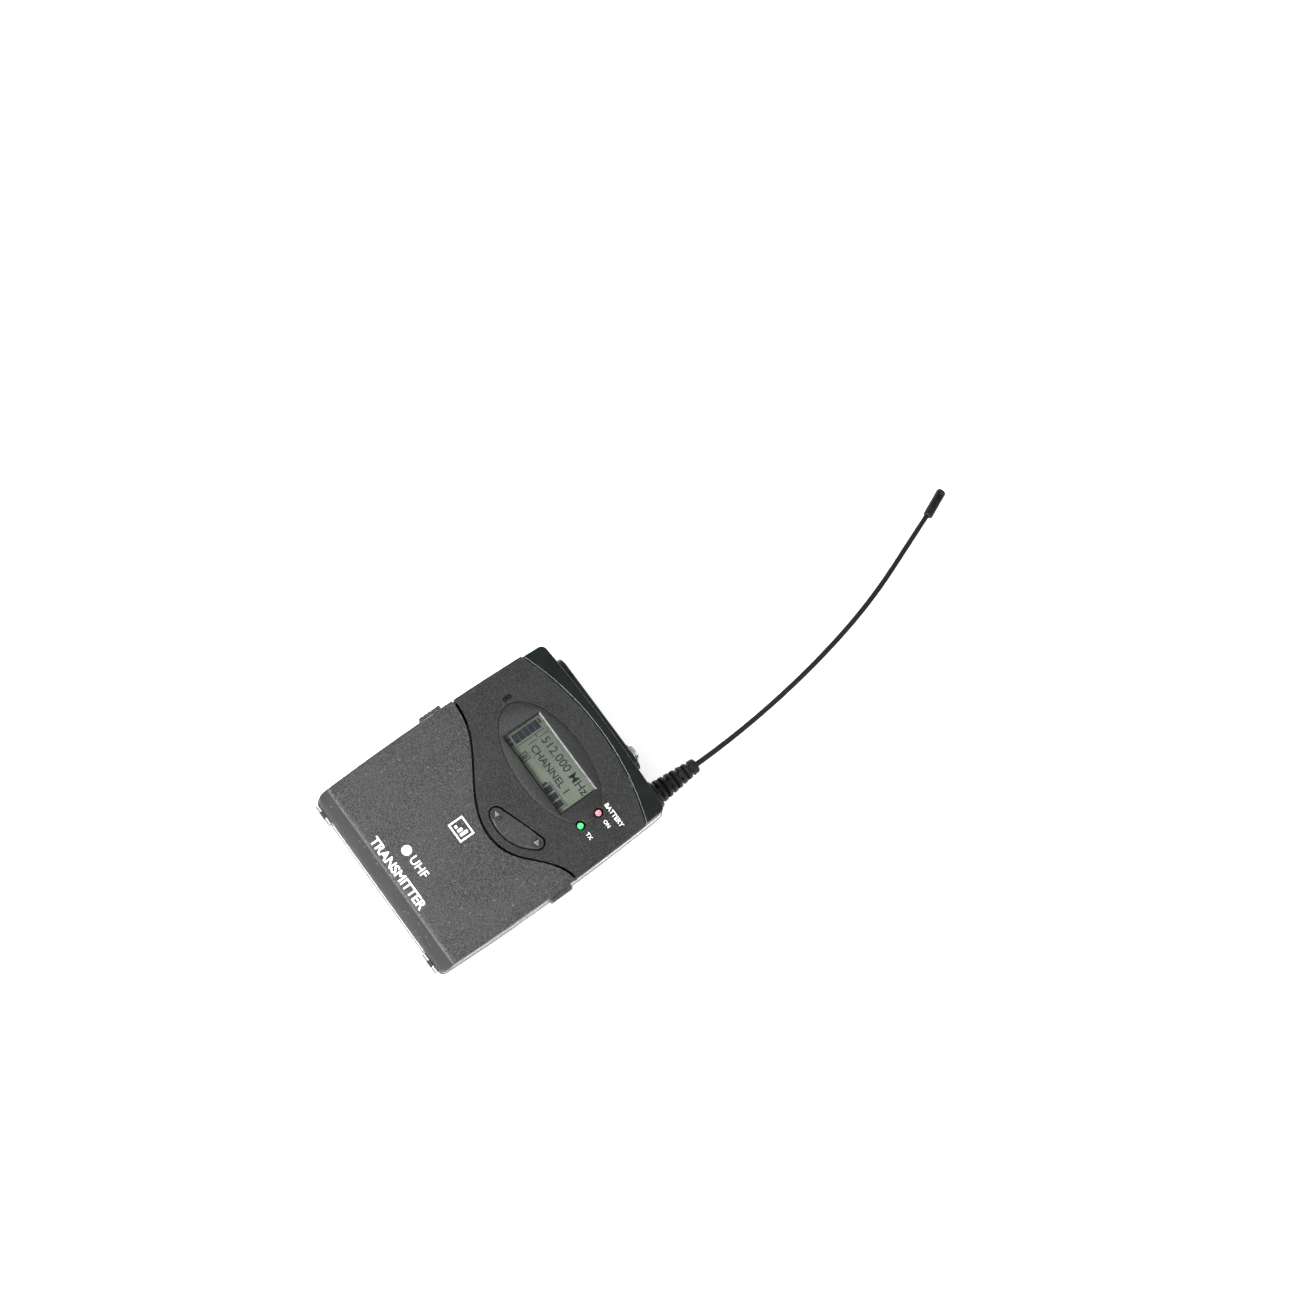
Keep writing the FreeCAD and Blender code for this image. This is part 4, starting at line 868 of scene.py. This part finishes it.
boot_low, boot_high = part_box("antenna_boot")
boot_mid = centre("antenna_boot")
boot_length = boot_high.y - boot_low.y
flange_r = (boot_high.x - boot_low.x) / 2


def on_boot(along):
    """A point of the boot's axis, metres from its foot."""
    return (boot_mid.x, boot_low.y + along, boot_mid.z)


ring_pitch = 2.02 * MM
web_half = 0.8 * MM
boot = [softened(disc(flange_r, 1.7 * MM, on_boot(0), 64, lying=True), 0.5 * MM, 4),
        disc(2.3 * MM, boot_length - 0.4 * MM, on_boot(0.2 * MM), 48, 1.4 * MM, lying=True)]
for step in range(7):
    start = 2.75 * MM + step * ring_pitch
    ring_r = 3.62 * MM - 0.20 * MM * step
    ring = disc(ring_r, 1.15 * MM, on_boot(start), 56, ring_r - 0.1 * MM, lying=True)
    boot.append(softened(ring, 0.22 * MM, 3))
    x, y, z = on_boot(start)
    web_r = ring_r - 0.2 * MM
    wide, thin = (web_r, web_half) if step % 2 else (web_half, web_r)
    boot.append(block((x - wide, y - ring_pitch + 0.9 * MM, z - thin),
                      (x + wide, y + 0.3 * MM, z + thin)))
sleeve_length = 1.9 * MM
boot_end = disc(2.42 * MM, sleeve_length, on_boot(boot_length - sleeve_length), 48, 2.25 * MM,
                lying=True)
boot.append(softened(boot_end, 0.4 * MM, 4))
boot = settle(joined(boot), "antenna_boot_ribbed", aerial_rubber, "transmitter")
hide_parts("antenna_boot")

tip_low, tip_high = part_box("antenna_tip")
tip_mid = centre("antenna_tip")
tip_r = (tip_high.z - tip_low.z) / 2
tip_run = Vector((tip_low.x - tip_high.x + 2 * tip_r, tip_high.y - tip_low.y - 2 * tip_r, 0))
tip_turn = math.atan2(-tip_run.x, tip_run.y)
tip_length = tip_run.length + 2 * tip_r
tip = disc(tip_r, tip_length, (0, -tip_length / 2, 0), 48, lying=True)
softened(tip, 0.62 * MM, 5)
bpy.ops.object.select_all(action="DESELECT")
bpy.ops.mesh.primitive_uv_sphere_add(segments=32, ring_count=16, radius=0.75 * MM,
                                     location=(0, tip_length / 2 - 2.0 * MM, tip_r + 0.25 * MM))
tip = carved(tip, bpy.context.object)
tip.rotation_euler.z = tip_turn
tip.location = tip_mid
tip = settle(joined([tip]), "antenna_tip_moulded", aerial_rubber, "transmitter")
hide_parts("antenna_tip")


# ---- Prints on the front
# White screen printing: captions beside the two lamps, and on the cover a signal sign, a
# band mark and the device's kind.
white_ink, tree, shader = finish("white_ink", (0.8, 0.8, 0.79), 0.5)
ink_wear = spread(tree, grain(tree, 0.0007, 5), 0.62, 0.78)
tree.links.new(blend_colours(tree, spread(tree, ink_wear, 0, 1, 0, 0.5), (0.86, 0.86, 0.85),
                             (0.5, 0.5, 0.49)), shader.inputs["Base Color"])
tree.links.new(spread(tree, ink_wear, 0, 1, 0.42, 0.6), shader.inputs["Roughness"])
relief(tree, shader, grain(tree, 0.0003, 3), 0.000006)

cover_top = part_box("battery_cover")[1].z
lamp_x, red_y = centre("led_red").xy
green_y = centre("led_green").y
captions = [lettering("BATTERY", 8.0 * MM, (lamp_x + 3.2 * MM, red_y + 3.3 * MM, panel_top), 0.014),
            lettering("ON", 2.4 * MM, (lamp_x + 4.0 * MM, red_y, panel_top), 0.014),
            lettering("TX", 2.2 * MM, (lamp_x + 3.9 * MM, green_y + 0.2 * MM, panel_top), 0.014)]
settle(joined(captions), "lamp_captions", white_ink, "transmitter")


def on_cover(x, y):
    """A point of the cover's face, millimetres from the middle of the body."""
    return (x * MM, y * MM)


sign_frame = ((-2.4, -9.85, 3.8, -9.35), (-2.4, -14.3, 3.8, -13.8), (-2.4, -13.8, -1.9, -9.85),
              (3.3, -13.8, 3.8, -9.85))
sign_bars = ((-1.1, -13.1, -0.2, -12.3), (0.25, -13.1, 1.15, -11.5), (1.6, -13.1, 2.5, -10.6))
sign = [bar(on_cover(x1, y1), on_cover(x2, y2), cover_top)
        for x1, y1, x2, y2 in sign_frame + sign_bars]
settle(joined(sign), "signal_sign", white_ink, "cover")

band_mark = [disc(1.5 * MM, ink_thick, (*on_cover(-3.3, -27.9), cover_top), 48),
             lettering("UHF", 6.6 * MM, (*on_cover(2.6, -27.8), cover_top), 0.01)]
settle(joined(band_mark), "band_mark", white_ink, "cover")
kind = lettering("TRANSMITTER", 24.4 * MM, (*on_cover(0.6, -33.6), cover_top), 0.022)
settle(joined([kind]), "device_kind", white_ink, "cover")


# ---- Belt clip and rating label
# The clip is spring wire with a bright nickel finish. The rating label is a brushed foil glued
# in a shallow recess of the back.
clip_wire = plated_metal("clip_wire", (0.5, 0.49, 0.47), (0.7, 0.7, 0.68), 0.2, 0.0004)
dress(clip_wire, "belt_clip")

label_foil, tree, shader = finish("label_foil", (0.5, 0.5, 0.5), 0.35, 0.6)
brushed = grain(tree, 0.0003, 3, stretch=(0.05, 1, 1))
tree.links.new(blend_colours(tree, brushed, (0.38, 0.38, 0.38), (0.6, 0.6, 0.6)),
               shader.inputs["Base Color"])
tree.links.new(spread(tree, brushed, 0.3, 0.7, 0.3, 0.45), shader.inputs["Roughness"])
relief(tree, shader, brushed, 0.000004)
dress(label_foil, "rating_label")

label_low, label_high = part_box("rating_label")
label_ink = mottled("label_ink", (0.0012, 4, 0.5, 0.75), (0.02, 0.02, 0.022),
                    (0.12, 0.12, 0.12), 0.5, 0.000002)
ink_low, ink_high = label_low.z - 0.02 * MM, label_low.z + 0.01 * MM
lines = []
for row, end in enumerate((15.5, 22.6, 19.0, 12.2)):
    base = label_low.y + (6.7 - 1.75 * row) * MM
    lines.append(block((label_low.x + 1.4 * MM, base, ink_low),
                       (label_low.x + end * MM, base + 0.75 * MM, ink_high)))
lines.append(block((label_high.x - 4.6 * MM, label_low.y + 1.2 * MM, ink_low),
                   (label_high.x - 1.6 * MM, label_low.y + 4.2 * MM, ink_high)))
settle(joined(lines), "label_print", label_ink, "transmitter")
